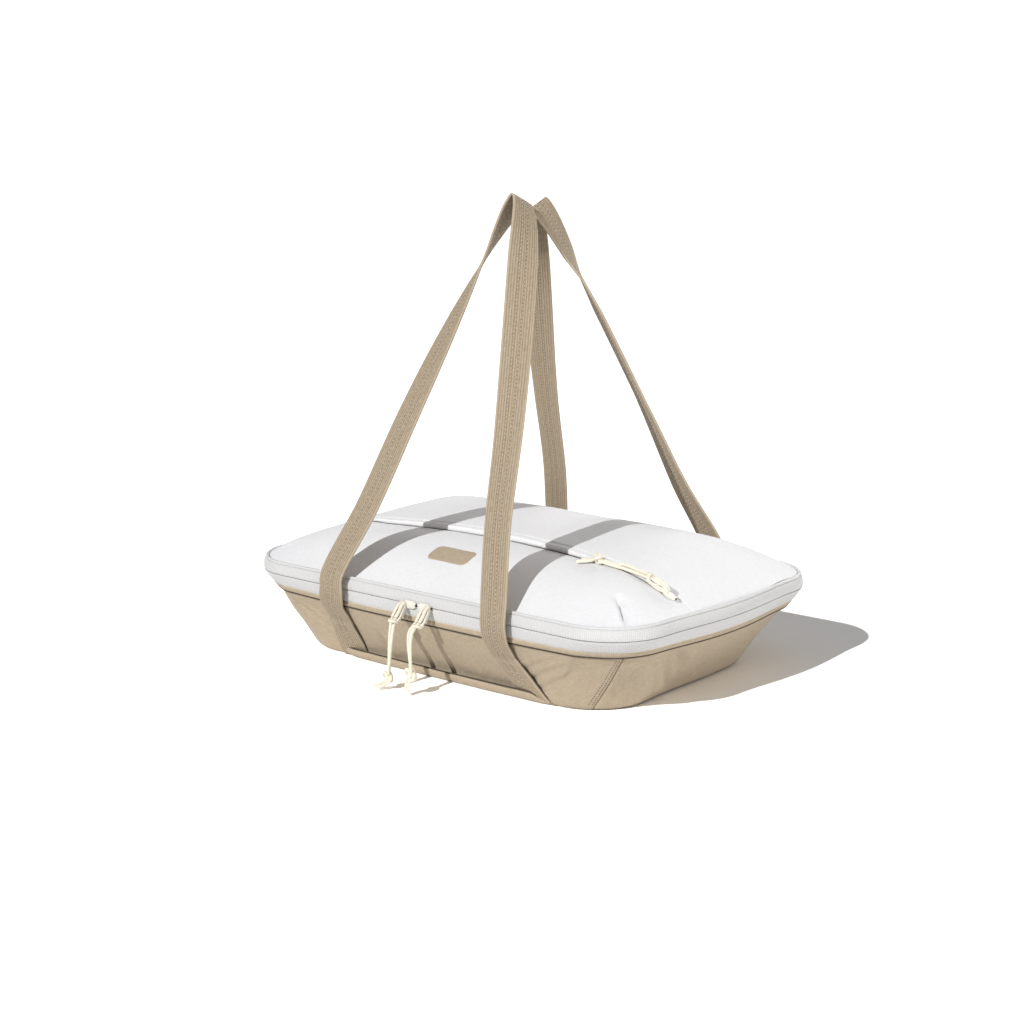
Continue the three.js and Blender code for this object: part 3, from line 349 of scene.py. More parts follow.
class Graph:
    """A node tree with short calls for adding and joining nodes."""

    def __init__(self, tree: bpy.types.NodeTree) -> None:
        self.tree = tree

    def join(self, value: Input | Sequence[float], node: bpy.types.Node, key: str | int) -> None:
        """Joins a socket to a node's input, or sets the input to a plain value."""
        if isinstance(value, Socket):
            self.tree.links.new(value, node.inputs[key])
        else:
            node.inputs[key].default_value = value

    def add(self, kind: str, inputs: dict | None = None, **settings) -> bpy.types.Node:
        """Adds a node; an input is a plain value or a socket to join."""
        node = self.tree.nodes.new(kind)
        for key, value in settings.items():
            setattr(node, key, value)
        for key, value in (inputs or {}).items():
            self.join(value, node, key)
        return node

    def maths(self, operation: str, *values: Input) -> Socket:
        """Result of a maths operation on sockets and numbers."""
        return self.add("ShaderNodeMath", dict(enumerate(values)), operation=operation).outputs[0]

    def blend(self, a: Socket, b: Socket, share: float) -> Socket:
        """Sum of two values, b having the share and a the rest."""
        return self.maths("MULTIPLY_ADD", b, share, self.maths("MULTIPLY", a, 1 - share))

    def wave(self, value: Socket, pitch: float) -> Socket:
        """Sine wave that repeats at the pitch."""
        return self.maths("SINE", self.maths("MULTIPLY", value, 2 * math.pi / pitch))

    def remap(self, value: Socket, low: float, high: float, to_low: float = 0.0, to_high: float = 1.0) -> Socket:
        """A value carried smoothly from one range to another."""
        limits = {"From Min": low, "From Max": high, "To Min": to_low, "To Max": to_high}
        node = self.add("ShaderNodeMapRange", {"Value": value, **limits}, interpolation_type="SMOOTHSTEP")
        return node.outputs["Result"]

    def noise(self, vector: Socket, scale: Input, detail: float, stretch: Sequence[float] = (1, 1, 1)) -> Socket:
        """Noise over a vector that is stretched first."""
        mapped = self.add("ShaderNodeMapping", {"Vector": vector, "Scale": stretch}).outputs[0]
        inputs = {"Vector": mapped, "Scale": scale, "Detail": detail}
        return self.add("ShaderNodeTexNoise", inputs).outputs[0]

    def mix(self, share: Socket, a: Socket | Colour, b: Socket | Colour) -> Socket:
        """Colour between a and b."""
        node = self.add("ShaderNodeMix", {"Factor": share}, data_type="RGBA")
        for key, value in ((6, a), (7, b)):
            self.join(value if isinstance(value, Socket) else (*value, 1), node, key)
        return node.outputs[2]

    def uv(self) -> tuple[Socket, Socket, Socket]:
        """The two UV coordinates, in millimetres, and the vector that holds them."""
        vector = self.add("ShaderNodeUVMap").outputs[0]
        split = self.add("ShaderNodeSeparateXYZ", {0: vector})
        return split.outputs[0], split.outputs[1], vector


def new_group(
    name: str, inputs: Sequence[str], outputs: Sequence[str]
) -> tuple[Graph, bpy.types.Node, bpy.types.Node]:
    """A shader node group with float inputs and outputs, and a vector input where one is named Vector.

    Returns:
        The graph to fill, its input node and its output node.
    """
    tree = bpy.data.node_groups.new(name, "ShaderNodeTree")
    for label in inputs:
        kind = "NodeSocketVector" if label == "Vector" else "NodeSocketFloat"
        tree.interface.new_socket(label, in_out="INPUT", socket_type=kind)
    for label in outputs:
        tree.interface.new_socket(label, in_out="OUTPUT", socket_type="NodeSocketFloat")
    return Graph(tree), tree.nodes.new("NodeGroupInput"), tree.nodes.new("NodeGroupOutput")


class Patterns:
    """Shared pattern groups: crossing threads, and cloth grain with slow mottling."""

    def __init__(self) -> None:
        self._threads = self._make_threads()
        self._grain = self._make_grain()

    @staticmethod
    def _make_threads() -> bpy.types.NodeTree:
        """Crossing threads: bumps at every crossing of the given pitches."""
        labels = ("Across", "Along", "Across Pitch", "Along Pitch")
        graph, source, sink = new_group("crossing_threads", labels, ("Height",))
        waves = []
        for way in ("Across", "Along"):
            phase = graph.maths("DIVIDE", source.outputs[way], source.outputs[f"{way} Pitch"])
            waves.append(graph.maths("SINE", graph.maths("MULTIPLY", phase, math.pi)))
        crossing = graph.maths("MULTIPLY", *waves)
        graph.join(graph.maths("MULTIPLY_ADD", crossing, 0.5, 0.5), sink, "Height")
        return graph.tree

    @staticmethod
    def _make_grain() -> bpy.types.NodeTree:
        """Uneven yarn along both threads, and broad mottling."""
        graph, source, sink = new_group("cloth_grain", ("Vector", "Scale"), ("Yarn", "Mottle"))
        vector, scale = source.outputs["Vector"], source.outputs["Scale"]
        yarns = [graph.noise(vector, scale, 3.0, stretch) for stretch in ((0.18, 1.0, 1.0), (1.0, 0.18, 1.0))]
        both = graph.maths("MULTIPLY", graph.maths("ADD", *yarns), 0.5)
        graph.join(graph.remap(both, 0.36, 0.64), sink, "Yarn")
        slow = graph.noise(vector, graph.maths("DIVIDE", scale, 30.0), 2.0)
        graph.join(graph.remap(slow, 0.3, 0.7), sink, "Mottle")
        return graph.tree

    def threads(self, graph: Graph, u: Socket, v: Socket, across: float, along: float) -> Socket:
        """Height of threads that cross at two pitches."""
        inputs = {"Across": u, "Along": v, "Across Pitch": across, "Along Pitch": along}
        return graph.add("ShaderNodeGroup", inputs, node_tree=self._threads).outputs["Height"]

    def grain(self, graph: Graph, vector: Socket, scale: float) -> tuple[Socket, Socket]:
        """Yarn and mottle over a vector."""
        node = graph.add("ShaderNodeGroup", {"Vector": vector, "Scale": scale}, node_tree=self._grain)
        return node.outputs["Yarn"], node.outputs["Mottle"]


def new_surface(name: str, **values: float) -> tuple[bpy.types.Material, Graph, bpy.types.Node]:
    """A new material with some plain values of its shader set.

    Returns:
        The material, its graph and its shader node.
    """
    material = bpy.data.materials.new(name)
    material.use_nodes = True
    graph = Graph(material.node_tree)
    shader = graph.tree.nodes["Principled BSDF"]
    for key, value in values.items():
        shader.inputs[key.replace("_", " ").title()].default_value = value
    return material, graph, shader


@dataclass(frozen=True)
class Finish:
    """A surface whose pattern goes from a dark colour to a light one.

    Attributes:
        name: Name of the material.
        light: Colour of what is raised.
        dark: Colour of what lies between.
    """

    name: str
    light: Colour
    dark: Colour

    def pattern(self, graph: Graph, patterns: Patterns) -> tuple[Socket, Socket]:
        """Adds the nodes; returns the colour and the relief."""
        raise NotImplementedError

    def make(self, patterns: Patterns, depth: float, **values: float) -> bpy.types.Material:
        """Makes the material.

        Args:
            patterns: The shared groups.
            depth: Millimetres of relief.
            values: Plain values of the shader, such as its roughness.

        Returns:
            The new material.
        """
        material, graph, shader = new_surface(self.name, **values)
        colour, relief = self.pattern(graph, patterns)
        graph.join(colour, shader, "Base Color")
        bump = graph.add("ShaderNodeBump", {"Height": relief, "Distance": depth * MM, "Strength": 1.0})
        graph.join(bump.outputs[0], shader, "Normal")
        return material


@dataclass(frozen=True)
class Canvas(Finish):
    """Plain woven canvas with a thread pitch in millimetres."""

    pitch: float = 0.9

    def pattern(self, graph: Graph, patterns: Patterns) -> tuple[Socket, Socket]:
        """Crossing threads of uneven yarn, slowly mottled."""
        u, v, vector = graph.uv()
        threads = patterns.threads(graph, u, v, self.pitch, self.pitch)
        yarn, mottle = patterns.grain(graph, vector, 0.9)
        colour = graph.mix(graph.blend(yarn, threads, 0.35), self.dark, self.light)
        shaded = graph.mix(graph.remap(mottle, 0.0, 1.0, 0.0, 0.16), colour, self.dark)
        return shaded, graph.maths("MULTIPLY_ADD", yarn, 0.6, threads)


@dataclass(frozen=True)
class Webbing(Finish):
    """Ribbed woven strap; u runs along it and v across it from its middle.

    Attributes:
        edge: Colour of the woven edge.
        rib: Distance between ribs.
    """

    edge: Colour
    rib: float = 2.15

    def pattern(self, graph: Graph, patterns: Patterns) -> tuple[Socket, Socket]:
        """Ribs with woven picks, a sunk channel at each sewn row darkened with painted shade, and a paler edge."""
        u, v, vector = graph.uv()
        picks = patterns.threads(graph, u, v, 1.1, self.rib / 2)
        yarn, _ = patterns.grain(graph, vector, 1.1)
        woven = graph.blend(graph.remap(graph.wave(v, self.rib), -1.0, 0.3), picks, 0.4)
        colour = graph.mix(graph.blend(woven, yarn, 0.35), self.dark, self.light)
        distances = [graph.maths("ABSOLUTE", graph.maths("SUBTRACT", v, row)) for row in STRAP_ROWS]
        groove_and_shade = graph.remap(graph.maths("MINIMUM", *distances), 0.4, 1.2, 1.0, 0.0)
        # painted shade: the colour darkens along each sewn row's sunk channel
        colour = graph.mix(graph.maths("MULTIPLY", groove_and_shade, 0.45), colour, self.dark)
        rim = graph.remap(graph.maths("ABSOLUTE", v), STRAP_HALF - 1.5, STRAP_HALF - 0.9, 0.0, 0.7)
        sunk = graph.maths("SUBTRACT", woven, graph.maths("MULTIPLY", groove_and_shade, 1.3))
        return graph.mix(rim, colour, self.edge), sunk


@dataclass(frozen=True)
class RibbedTape(Finish):
    """Tape with fine ribs across its length, along which u runs, and a faint woven line."""

    pitch: float = 1.5

    def pattern(self, graph: Graph, patterns: Patterns) -> tuple[Socket, Socket]:
        """Ribs at the pitch, and lines along the tape."""
        u, v, vector = graph.uv()
        ribs = graph.remap(graph.wave(u, self.pitch), -1.0, 0.6)
        yarn, _ = patterns.grain(graph, vector, 1.4)
        colour = graph.mix(graph.blend(yarn, ribs, 0.75), self.dark, self.light)
        return colour, graph.maths("MULTIPLY_ADD", graph.wave(v, 2.0), 0.15, ribs)


@dataclass(frozen=True)
class Speckled(Finish):
    """A finish from object coordinates, with the fineness of its grain per metre."""

    fineness: float

    def pattern(self, graph: Graph, patterns: Patterns) -> tuple[Socket, Socket]:
        """Fine grain in all directions."""
        point = graph.add("ShaderNodeTexCoord").outputs["Object"]
        lit = graph.remap(graph.noise(point, 1.0, 4.0, (self.fineness,) * 3), 0.35, 0.65)
        return graph.mix(lit, self.dark, self.light), lit


class Palette:
    """All finishes, made once."""

    def __init__(self) -> None:
        patterns = Patterns()
        cloth = {"roughness": 0.88, "sheen_roughness": 0.5}
        tape = {"roughness": 0.7, "sheen_weight": 0.15}
        self.taupe = Canvas("taupe_canvas", (0.445, 0.364, 0.264), (0.345, 0.276, 0.19)).make(
            patterns, 0.12, sheen_weight=0.06, **cloth
        )
        self.white = Canvas("white_canvas", (0.75, 0.75, 0.765), (0.685, 0.685, 0.70), 0.8).make(
            patterns, 0.09, sheen_weight=0.0, **cloth
        )
        self.webbing = Webbing(
            "ribbed_webbing", (0.43, 0.348, 0.25), (0.175, 0.132, 0.08), (0.44, 0.36, 0.262)
        ).make(patterns, 0.22, roughness=0.85, sheen_weight=0.06, sheen_roughness=0.45)
        self.tape, self.piping, self.coil = (
            RibbedTape(name, light, dark, pitch).make(patterns, 0.2, **tape)
            for name, light, dark, pitch in (
                ("zip_tape", (0.62, 0.62, 0.62), (0.50, 0.49, 0.48), 1.5),
                ("corded_piping", (0.66, 0.66, 0.665), (0.56, 0.56, 0.56), 1.2),
                # the coil's own tone, darkened further to paint the shade in the gap between the zip tapes
                ("zip_coil", (0.42, 0.39, 0.35), (0.20, 0.17, 0.14), 1.3),
            )
        )
        # seam is a near-black finish of painted shade, for dark lines, sheets and beads put where shade falls
        self.lining, self.enamel, self.cord, self.thread, self.white_thread, self.seam = (
            Speckled(name, light, dark, fineness).make(
                patterns, depth, roughness=roughness, metallic=metallic, sheen_weight=0.0
            )
            for name, light, dark, roughness, fineness, depth, metallic in (
                ("coated_lining", (0.60, 0.61, 0.63), (0.50, 0.51, 0.53), 0.35, 140, 0.25, 0.35),
                ("cream_enamel", (0.74, 0.72, 0.65), (0.70, 0.68, 0.61), 0.3, 300, 0.02, 0),
                ("cotton_cord", (0.80, 0.76, 0.65), (0.72, 0.65, 0.51), 0.9, 1100, 0.06, 0),
                ("sewing_thread", (0.58, 0.505, 0.40), (0.46, 0.395, 0.30), 0.7, 1500, 0.05, 0),
                ("white_thread", (0.84, 0.84, 0.84), (0.78, 0.78, 0.78), 0.7, 1500, 0.05, 0),
                ("painted_shade", (0.075, 0.058, 0.04), (0.045, 0.035, 0.025), 0.9, 800, 0.05, 0),
            )
        )


# The carrier's own shape, shared by all its parts


@dataclass(frozen=True)
class Outline:
    """A rounded rectangle whose ends and sides may bow out."""

    half_length: float
    half_width: float
    corner: float
    end_bow: float
    side_bow: float

    @property
    def reach(self) -> tuple[float, float]:
        """Middle of the corner arcs, in x and y."""
        return self.half_length - self.end_bow - self.corner, self.half_width - self.side_bow - self.corner

    def at(self, turn: float) -> Vector:
        """Point on the outline; turn goes 0 to 8 anticlockwise from the front side's left end."""
        cx, cy = self.reach
        segment = math.floor(turn) % 8
        share = turn - math.floor(turn)
        t = 2 * share - 1
        angle = math.pi / 2 * share
        sine, cosine = self.corner * math.sin(angle), self.corner * math.cos(angle)
        quarters = (
            (cx * t, -cy - self.corner - self.side_bow * (1 - t * t)),
            (cx + sine, -cy - cosine),
            (cx + self.corner + self.end_bow * (1 - t * t) ** 2, cy * t),
            (cx + cosine, cy + sine),
        )
        return Vector(quarters[segment % 4]) * (1 if segment < 4 else -1)

    def front_y(self, x: float) -> float:
        """Depth of the outline towards the front at the given x."""
        cx, cy = self.reach
        if abs(x) <= cx:
            return cy + self.corner + self.side_bow * (1 - (x / cx) ** 2)
        beyond = min(self.corner, abs(x) - cx)
        return cy + math.sqrt(max(0.0, self.corner**2 - beyond**2))

    def column(self, u: float) -> float:
        """Place of a column of faces: even along the sides, then even round the corner arcs."""
        cx = self.reach[0]
        along = (2 * u - 1) * (cx + math.pi / 2 * self.corner)
        if abs(along) <= cx:
            return along
        return math.copysign(cx + self.corner * math.sin((abs(along) - cx) / self.corner), along)

    def bowed(self, x: float, y: float) -> float:
        """Carries a column out to the bowed end."""
        bow = self.end_bow * max(0.0, 1 - (y / self.reach[1]) ** 2) ** 2
        return x + math.copysign(bow * smooth_step((abs(x) - 60) / (self.half_length - 60 - self.end_bow)), x)


@dataclass(frozen=True)
class CarrierShape:
    """Sizes that several parts share, and the tub's tapered outline.

    Attributes:
        wall_rim_inset: How far the walls' top edge lies inside the rim.
        tuck_corner: How far the walls' top draws in at the corners; tuck_end and tuck_side are for the rest.
        foot_spread: How far the front corners' foot pushes out, and that of the back ones draws in.
        seam_slant: Lean of the corner seams, as a part of a corner's turn.
    """

    rim: Outline = Outline(215, 142, 53, 6.3, 0)
    base: Outline = Outline(168, 113.5, 50, 0, 2.1)
    wall_top: float = 51.5
    wall_low: float = 1.3
    wall_rim_inset: float = 2
    zip_line: float = 66.8
    tuck_corner: float = 10
    tuck_end: float = 6
    tuck_side: float = 0.8
    foot_spread: float = 4
    seam_slant: float = 0.08
    hollow_depth: float = 4.5

    def outline(self, rim_share: float, inset: float) -> Outline:
        """Outline between base and rim, drawn in by the inset."""
        low, high = self.base, self.rim
        return Outline(
            lerp(low.half_length, high.half_length, rim_share) - inset,
            lerp(low.half_width, high.half_width, rim_share) - inset,
            lerp(low.corner, high.corner, rim_share) - inset,
            lerp(low.end_bow, high.end_bow, rim_share),
            lerp(low.side_bow, high.side_bow, rim_share),
        )

    def rim_share(self, z: float) -> float:
        """How far the walls have opened out at a height."""
        return (z - self.wall_low) / (self.wall_top - self.wall_low)

    def height(self, rim_share: float) -> float:
        """Height at which the walls have opened out by a share."""
        return lerp(self.wall_low, self.wall_top, rim_share)

    def tuck(self, turn: float, z: float) -> float:
        """How far the soft tub draws in under the zip, most at its corners, where its foot pushes out."""
        taut = self.zip_line - 0.6
        if z >= taut:
            return 0.0
        step = turn % 2
        corner = smooth_step(1.3 - 1.5 * min(abs(step - 1.5), step + 0.5))
        long_side = math.floor((turn + 0.5) / 2) % 2 == 0
        top = lerp(self.tuck_side if long_side else self.tuck_end, self.tuck_corner, corner)
        if z > self.wall_top:
            return top * (taut - z) / (taut - self.wall_top)
        spread = -self.foot_spread if 2.5 < turn % 8 < 6.5 else self.foot_spread
        return lerp(-spread * corner, top, z / self.wall_top)

    def slant(self, z: float) -> float:
        """Lean of the corner seams: how far the long walls reach round the corners at a height."""
        return self.seam_slant * (2 * z / self.wall_top - 1)

    def hollow(self, x: float, z: float) -> float:
        """How far the long walls fall back behind the base strip, between the straps."""
        low = smooth_step((42 - z) / 32) * lerp(0.4, 1, smooth_step(z / 9))
        return self.hollow_depth * low * smooth_step((112 - abs(x)) / 45)

    def around(self, turn: float, rim_share: float, inset: float, z: float) -> Vector:
        """Point round the carrier."""
        point = self.outline(rim_share, inset + self.tuck(turn, z)).at(turn)
        if math.floor(turn) % 4 == 0:
            point.y -= math.copysign(self.hollow(point.x, z), point.y)
        return point.to_3d() + Vector((0, 0, z))

    def on_wall(self, turn: float, inset: float, z: float) -> Vector:
        """Point on the wall at a turn of its foot, inset from the wall's outer face."""
        share = self.rim_share(z)
        return self.around(turn, share, self.wall_rim_inset * share + inset, z)

    def wall_point(self, x: float, z: float, side: Side) -> Vector:
        """Outer face of the long wall at an x and height."""
        share = self.rim_share(z)
        spec = self.outline(share, self.wall_rim_inset * share + self.tuck_side * z / self.wall_top)
        y = spec.half_width - spec.side_bow * (x / spec.reach[0]) ** 2 - self.hollow(x, z)
        return Vector((x, side.value * y, z))

    def wall_axes(self, x: float, z: float, side: Side) -> tuple[Vector, Vector]:
        """Direction along the long wall and its outward normal."""
        here = self.wall_point(x, z, side)
        up = self.wall_point(x, z + 1, side) - here
        along = (self.wall_point(x + 1, z, side) - here).normalized()
        normal = up.cross(along).normalized()
        return along, normal if normal.y * side.value > 0 else -normal


class Track:
    """Even steps along part of the rim's outline."""

    def __init__(self, shape: CarrierShape, start: float, end: float) -> None:
        self.shape = shape
        self.turns = np.linspace(start, end, 1601)
        self.arcs = running_length(shape.rim.at(t) for t in self.turns)
        self.length = float(self.arcs[-1])

    def turn(self, share: float) -> float:
        """Turn at a share of the track's length."""
        return float(np.interp(share * self.length, self.arcs, self.turns))

    def sweep(
        self, columns: int, rings: Sequence[Sequence[float]], chart: Chart, soften: Callable | None = None
    ) -> bmesh.types.BMesh:
        """Carries rings along the track to make a closed body.

        Args:
            columns: Faces along the track.
            rings: Inset, share of the way to the rim and height of each ring.
            chart: UV in millimetres for the shares along the track and over the rings.
            soften: Further inset for a distance along the track and a ring's number.

        Returns:
            The new mesh.
        """
        last = len(rings) - 1

        def place(u: float, v: float) -> Vector:
            row = round(v * last)
            inset, share, z = rings[row]
            soft = soften(u * self.length, row) if soften else 0
            return self.shape.around(self.turn(u), share, inset + soft, z)

        return mapped_sheet(columns, last, place, chart, closed=True)


@dataclass(frozen=True)
class LidShape:
    """Heights of the lid: a soft dome, lower and fuller in front where the pocket lies.

    Attributes:
        crown: Rise of the dome's highest point, where its formula gives the peak.
        squareness: How far its level lines follow the lid's edge.
        shoulder: Distance from the edge over which the dome falls.
    """

    half_length: float = 212
    half_width: float = 139
    edge_height: float = 74
    crown: float = 40
    peak: float = 1.17465
    squareness: float = 4.64
    shoulder: float = 112
    seam_front: float = 46
    seam_sweep: float = 10
    welt: float = 6

    def dome(self, x: float, y: float) -> float:
        """Height of the plain dome."""
        reach_x = max(0.0, 1 - (self.half_length - abs(x)) / self.shoulder)
        reach_y = max(0.0, 1 - (self.half_width - abs(y)) / self.shoulder)
        edge = (reach_x**self.squareness + reach_y**self.squareness) ** (1 / self.squareness)
        fullness = (1 - (x / self.half_length) ** 2) * (1 - (y / self.half_width) ** 2)
        shape = (1 - edge * edge) * (1 + 0.15 * y / self.half_width) + 0.15 * fullness
        return self.edge_height + self.crown / self.peak * shape

    def seam_y(self, x: float) -> float:
        """Line of the pocket's zip, swept forward towards both ends."""
        return -self.seam_front - self.seam_sweep * min(1.0, abs(x) / 110) ** 2

    def pocket(self, x: float, y: float) -> float:
        """Height of the pocket panel, stepped down from the welt and filled out in the middle."""
        seam = self.seam_y(x)
        drop = 4 * max(0.0, 1 - (x / 180) ** 2) * smooth_step((y - seam + 60) / 60)
        full = max(0.0, 1 - (x / self.half_length) ** 2)
        return self.dome(x, y) - drop + 4.5 * full * arch((y + self.half_width) / (seam + self.half_width))

    def top(self, x: float, y: float) -> float:
        """Height of whatever is uppermost."""
        return self.dome(x, y) + 0.5 if y > self.seam_y(x) else self.pocket(x, y)


# Straps


@dataclass(frozen=True)
class Station:
    """One cut through a strap: its middle, the direction across it and its outward normal."""

    centre: Vector
    across: Vector
    normal: Vector


@dataclass(frozen=True)
class Ribbon:
    """A strap through stations, with softly rounded edges."""

    stations: Sequence[Station]

    def make(self, name: str, fitting: Fitting) -> bpy.types.Object:
        """Builds the strap; u runs along it and v across it from its middle."""
        half, thin = STRAP_HALF, STRAP_THICKNESS / 2
        left = [(-half, 0.45), (0.35 - half, 0.85), (1.1 - half, 0.92), (-half * 0.66, 1), (-half * 0.33, 1)]
        upper = [*left, (0, 1), *((-wide, high) for wide, high in reversed(left))]
        section = [(wide, thin * high) for wide, high in upper]
        section += [(wide, -high) for wide, high in reversed(section)]
        count, last = len(section), len(self.stations) - 1
        lengths = running_length(station.centre for station in self.stations)

        def place(u: float, v: float) -> Vector:
            station = self.stations[round(u * last)]
            wide, high = section[round(v * count) % count]
            return station.centre + station.across * wide + station.normal * high

        def chart(u: float, v: float) -> tuple[float, float]:
            return lengths[round(u * last)], section[round(v * count) % count][0]

        return mesh_piece(name, mapped_sheet(last, count, place, chart, closed=True), fitting, sharp=60)

    def seams(self, first: int, last: int, faces: Sequence[int] = (1,)) -> list[Seam]:
        """The two sewn rows along the strap between two stations, on its outer face 1 or inner face -1."""
        lift = STRAP_THICKNESS / 2 + 0.02
        chosen = self.stations[first:last]
        result = []
        for row, face in product(STRAP_ROWS, faces):
            line = [s.centre + s.across * row + s.normal * face * lift for s in chosen]
            result.append(Seam(line, [s.normal * face for s in chosen]))
        return result


# Sub-assemblies


@dataclass
class Tub:
    """Walls, base, lining and the sewn pieces on the walls.

    Attributes:
        crease_depths: Depth of the creases at the near and at the far end of a wall.
        creases: Lines of the creases, as distance from the wall's end and height.
    """

    shape: CarrierShape
    palette: Palette
    wall_drop: float = 4
    seam_tuck: float = 1.1
    strip_height: float = 8
    crease_depths: tuple[float, float] = (2.6, 0.8)
    creases: tuple[Line, ...] = ((28, 49, 60, 5), (52, 44, 84, 7), (141, 34, 122, 6), (66, 46, 92, 26))

    def build(self) -> None:
        """Makes all the tub's pieces."""
        for name, start in (("front_wall", -0.5), ("right_wall", 1.5), ("back_wall", 3.5), ("left_wall", 5.5)):
            self._wall(name, start)
        self._base()
        self._lining()
        for name, side, foot, flare in (
            ("front_left_strap_end", Side.FRONT, -93, 3),
            ("front_right_strap_end", Side.FRONT, 86, 16),
            ("back_left_strap_end", Side.BACK, -89, 8),
            ("back_right_strap_end", Side.BACK, 89, 8),
        ):
            self._strap_end(name, side, foot, flare)
        self._base_strip("front_base_strip", Side.FRONT, -107, 122)
        self._base_strip("back_base_strip", Side.BACK, -107, 107)
        self._seam_stitches()

    def _wall_inset(self, arc: float, length: float, z: float) -> float:
        """Extra inset of a wall: rounded foot, soft folds and the tuck at its seams."""
        foot = max(0.0, (self.wall_drop - z) / self.wall_drop)
        rounding = self.wall_drop * (1 - math.sqrt(max(0.0, 1 - foot * foot)))
        fade = smooth_step(z / 12) * smooth_step((self.shape.wall_top - z) / 10)
        slant = ripple(arc + 1.1 * z, 0.5 * z, 34, 0.3 * length)
        fine = ripple(arc - 0.5 * z, z, 14, 4.2 + length)
        end = min(arc, length - arc)
        corner = smooth_step((110 - end) / 40)
        folds = fade * smooth_step(end / 14) * (lerp(0.8, 4.0, corner) * slant + 0.5 * fine)
        folds = lerp(abs(folds), folds, corner)
        deep = self.crease_depths[0 if arc == end else 1]
        for crease in self.creases:
            share, aside = beside(end, z, crease)
            folds += fade * deep * arch(share) ** 0.7 * (bell(aside, 3.2) - 0.8 * bell(aside + 6, 4.5))
        return rounding + folds + self.seam_tuck * max(0.0, 1 - end / 1.6) ** 2

    def _wall(self, name: str, start: float) -> None:
        """One wall, from one corner seam to the next, with its foot turned under."""
        shape, track = self.shape, Track(self.shape, start, start + 2)
        heights = [0.05, 0.2, 0.7, 1.5, 2.6, 4, *np.linspace(6, shape.wall_top, 20).tolist()]
        turned_under = {0: 6.0, 1: 1.2}
        last = len(heights) - 1
        long = 1 if start % 4 == 3.5 else -1

        def place(u: float, v: float) -> Vector:
            row = round(v * last)
            z = heights[row]
            inset = self._wall_inset(u * track.length, track.length, z) + turned_under.get(row, 0)
            return shape.on_wall(track.turn(u) + long * (2 * u - 1) * shape.slant(z), inset, z)

        def chart(u: float, v: float) -> tuple[float, float]:
            return u * track.length, heights[round(v * last)] * 1.15

        bm = mapped_sheet(round(track.length / 2.2), last, place, chart)
        mesh_piece(f"{name}_canvas", bm, Fitting("base", Slot.TAUPE, self.palette.taupe, (name,)), 1.0)

    def _base(self) -> None:
        """Base panel: a thin plate with a soft edge, inside the walls' turned-under feet."""
        rings = [(30, 0.02), (12, 0.02), (7, 0.03), (6.2, 0.3), (6.2, 0.8), (7, 1.0), (30, 1.0)]
        bm = Track(self.shape, 0, 8).sweep(160, [(inset, 0, z) for inset, z in rings], lambda u, v: (u * 900, v * 60))
        mesh_piece("bottom_panel", bm, Fitting("base", Slot.TAUPE, self.palette.taupe, ("base_panel",)))

    def _lining(self) -> None:
        """Padded lining as one closed shell: up the foam, over its edge, down inside and across the floor."""
        deep, floor = 7.9, 9.5
        rings = [(44, 0, 1.4), (28, 0, 1.4), (12, 0, 1.5), (7, 0, 2.4)]
        rings += [(5.2 + s, s, self.shape.height(s)) for s in (0.15, 0.4, 0.7, 1)]
        rings += [(4.0, 1, 58), (3.6, 1, 63), (4.2, 1, 65.2), (6, 1, 65.7), (8.6, 1, 65.2), (9.7, 1, 63), (9.9, 1, 58)]
        rings += [(deep + 2 * s, s, self.shape.height(s)) for s in (1, 0.75, 0.5, 0.3)]
        rings += [(deep + 0.6, 0.2, 12), (deep + 3, 0.17, 10.2)]
        rings += [(inset, 0.16, floor) for inset in (deep + 7, 28, 44)]
        track = Track(self.shape, 0, 8)
        padded = range(14, len(rings) - 4)

        def soften(arc: float, row: int) -> float:
            z = rings[row][2]
            return 0.5 * abs(ripple(arc, z, 30, 7.7)) * smooth_step((60 - z) / 20) if row in padded else 0.0

        bm = track.sweep(220, rings, lambda u, v: (u * track.length, v * 200), soften)
        nodes = ("tub_lining", "wall_insulation", "base_insulation", "base_board")
        piece = mesh_piece("padded_tub_lining", bm, Fitting("base", Slot.LINING, self.palette.lining, nodes), sharp=70)

    def _strap_end(self, name: str, side: Side, foot: float, flare: float) -> None:
        """Sewn end of a strap on the wall, with two cross rows of stitches near its top."""
        low, high = 3.0, SEW_HEIGHT - 0.15
        stations = []
        for share in np.linspace(0, 1, 19).tolist():
            x, z = foot + math.copysign(flare, foot) * share, lerp(high, low, share)
            along, normal = self.shape.wall_axes(x, z, side)
            flared = lerp(1, math.hypot(1, flare / (high - low)), min(1.0, 2 * share))
            centre = self.shape.wall_point(x, z, side) + normal * (0.3 + STRAP_THICKNESS / 2)
            stations.append(Station(centre, along * lerp(1, 1.16, share) * flared, normal))
        piece = Ribbon(stations)
        piece.make(f"{name}_webbing", Fitting("base", Slot.WEBBING, self.palette.webbing, (name,)))
        # painted shadow: a near-black cord along the strap's edge, where it shades the wall
        edge = [s.centre + s.across * (STRAP_HALF + 0.1) - s.normal * 0.9 for s in stations[3:]]
        fitting = Fitting("base", Slot.WEBBING, self.palette.seam)
        curve_piece(f"{name}_edge_shadow_line", smooth_path(edge, 2), 0.55, fitting)
        down = (stations[4].centre - stations[0].centre).normalized()
        top = stations[1]
        seams = piece.seams(6, 17)
        for depth in (2.0, 4.4):
            middle = top.centre + down * depth + top.normal * (STRAP_THICKNESS / 2 + 0.05)
            line = [middle + top.across * aside for aside in np.linspace(-10.5, 10.5, 9)]
            seams.append(Seam(line, top.normal, 2.6, (1.7, 0.7, 0.5)))
        sewn_piece(f"{name}_stitches", seams, Fitting("base", Slot.WEBBING, self.palette.thread))

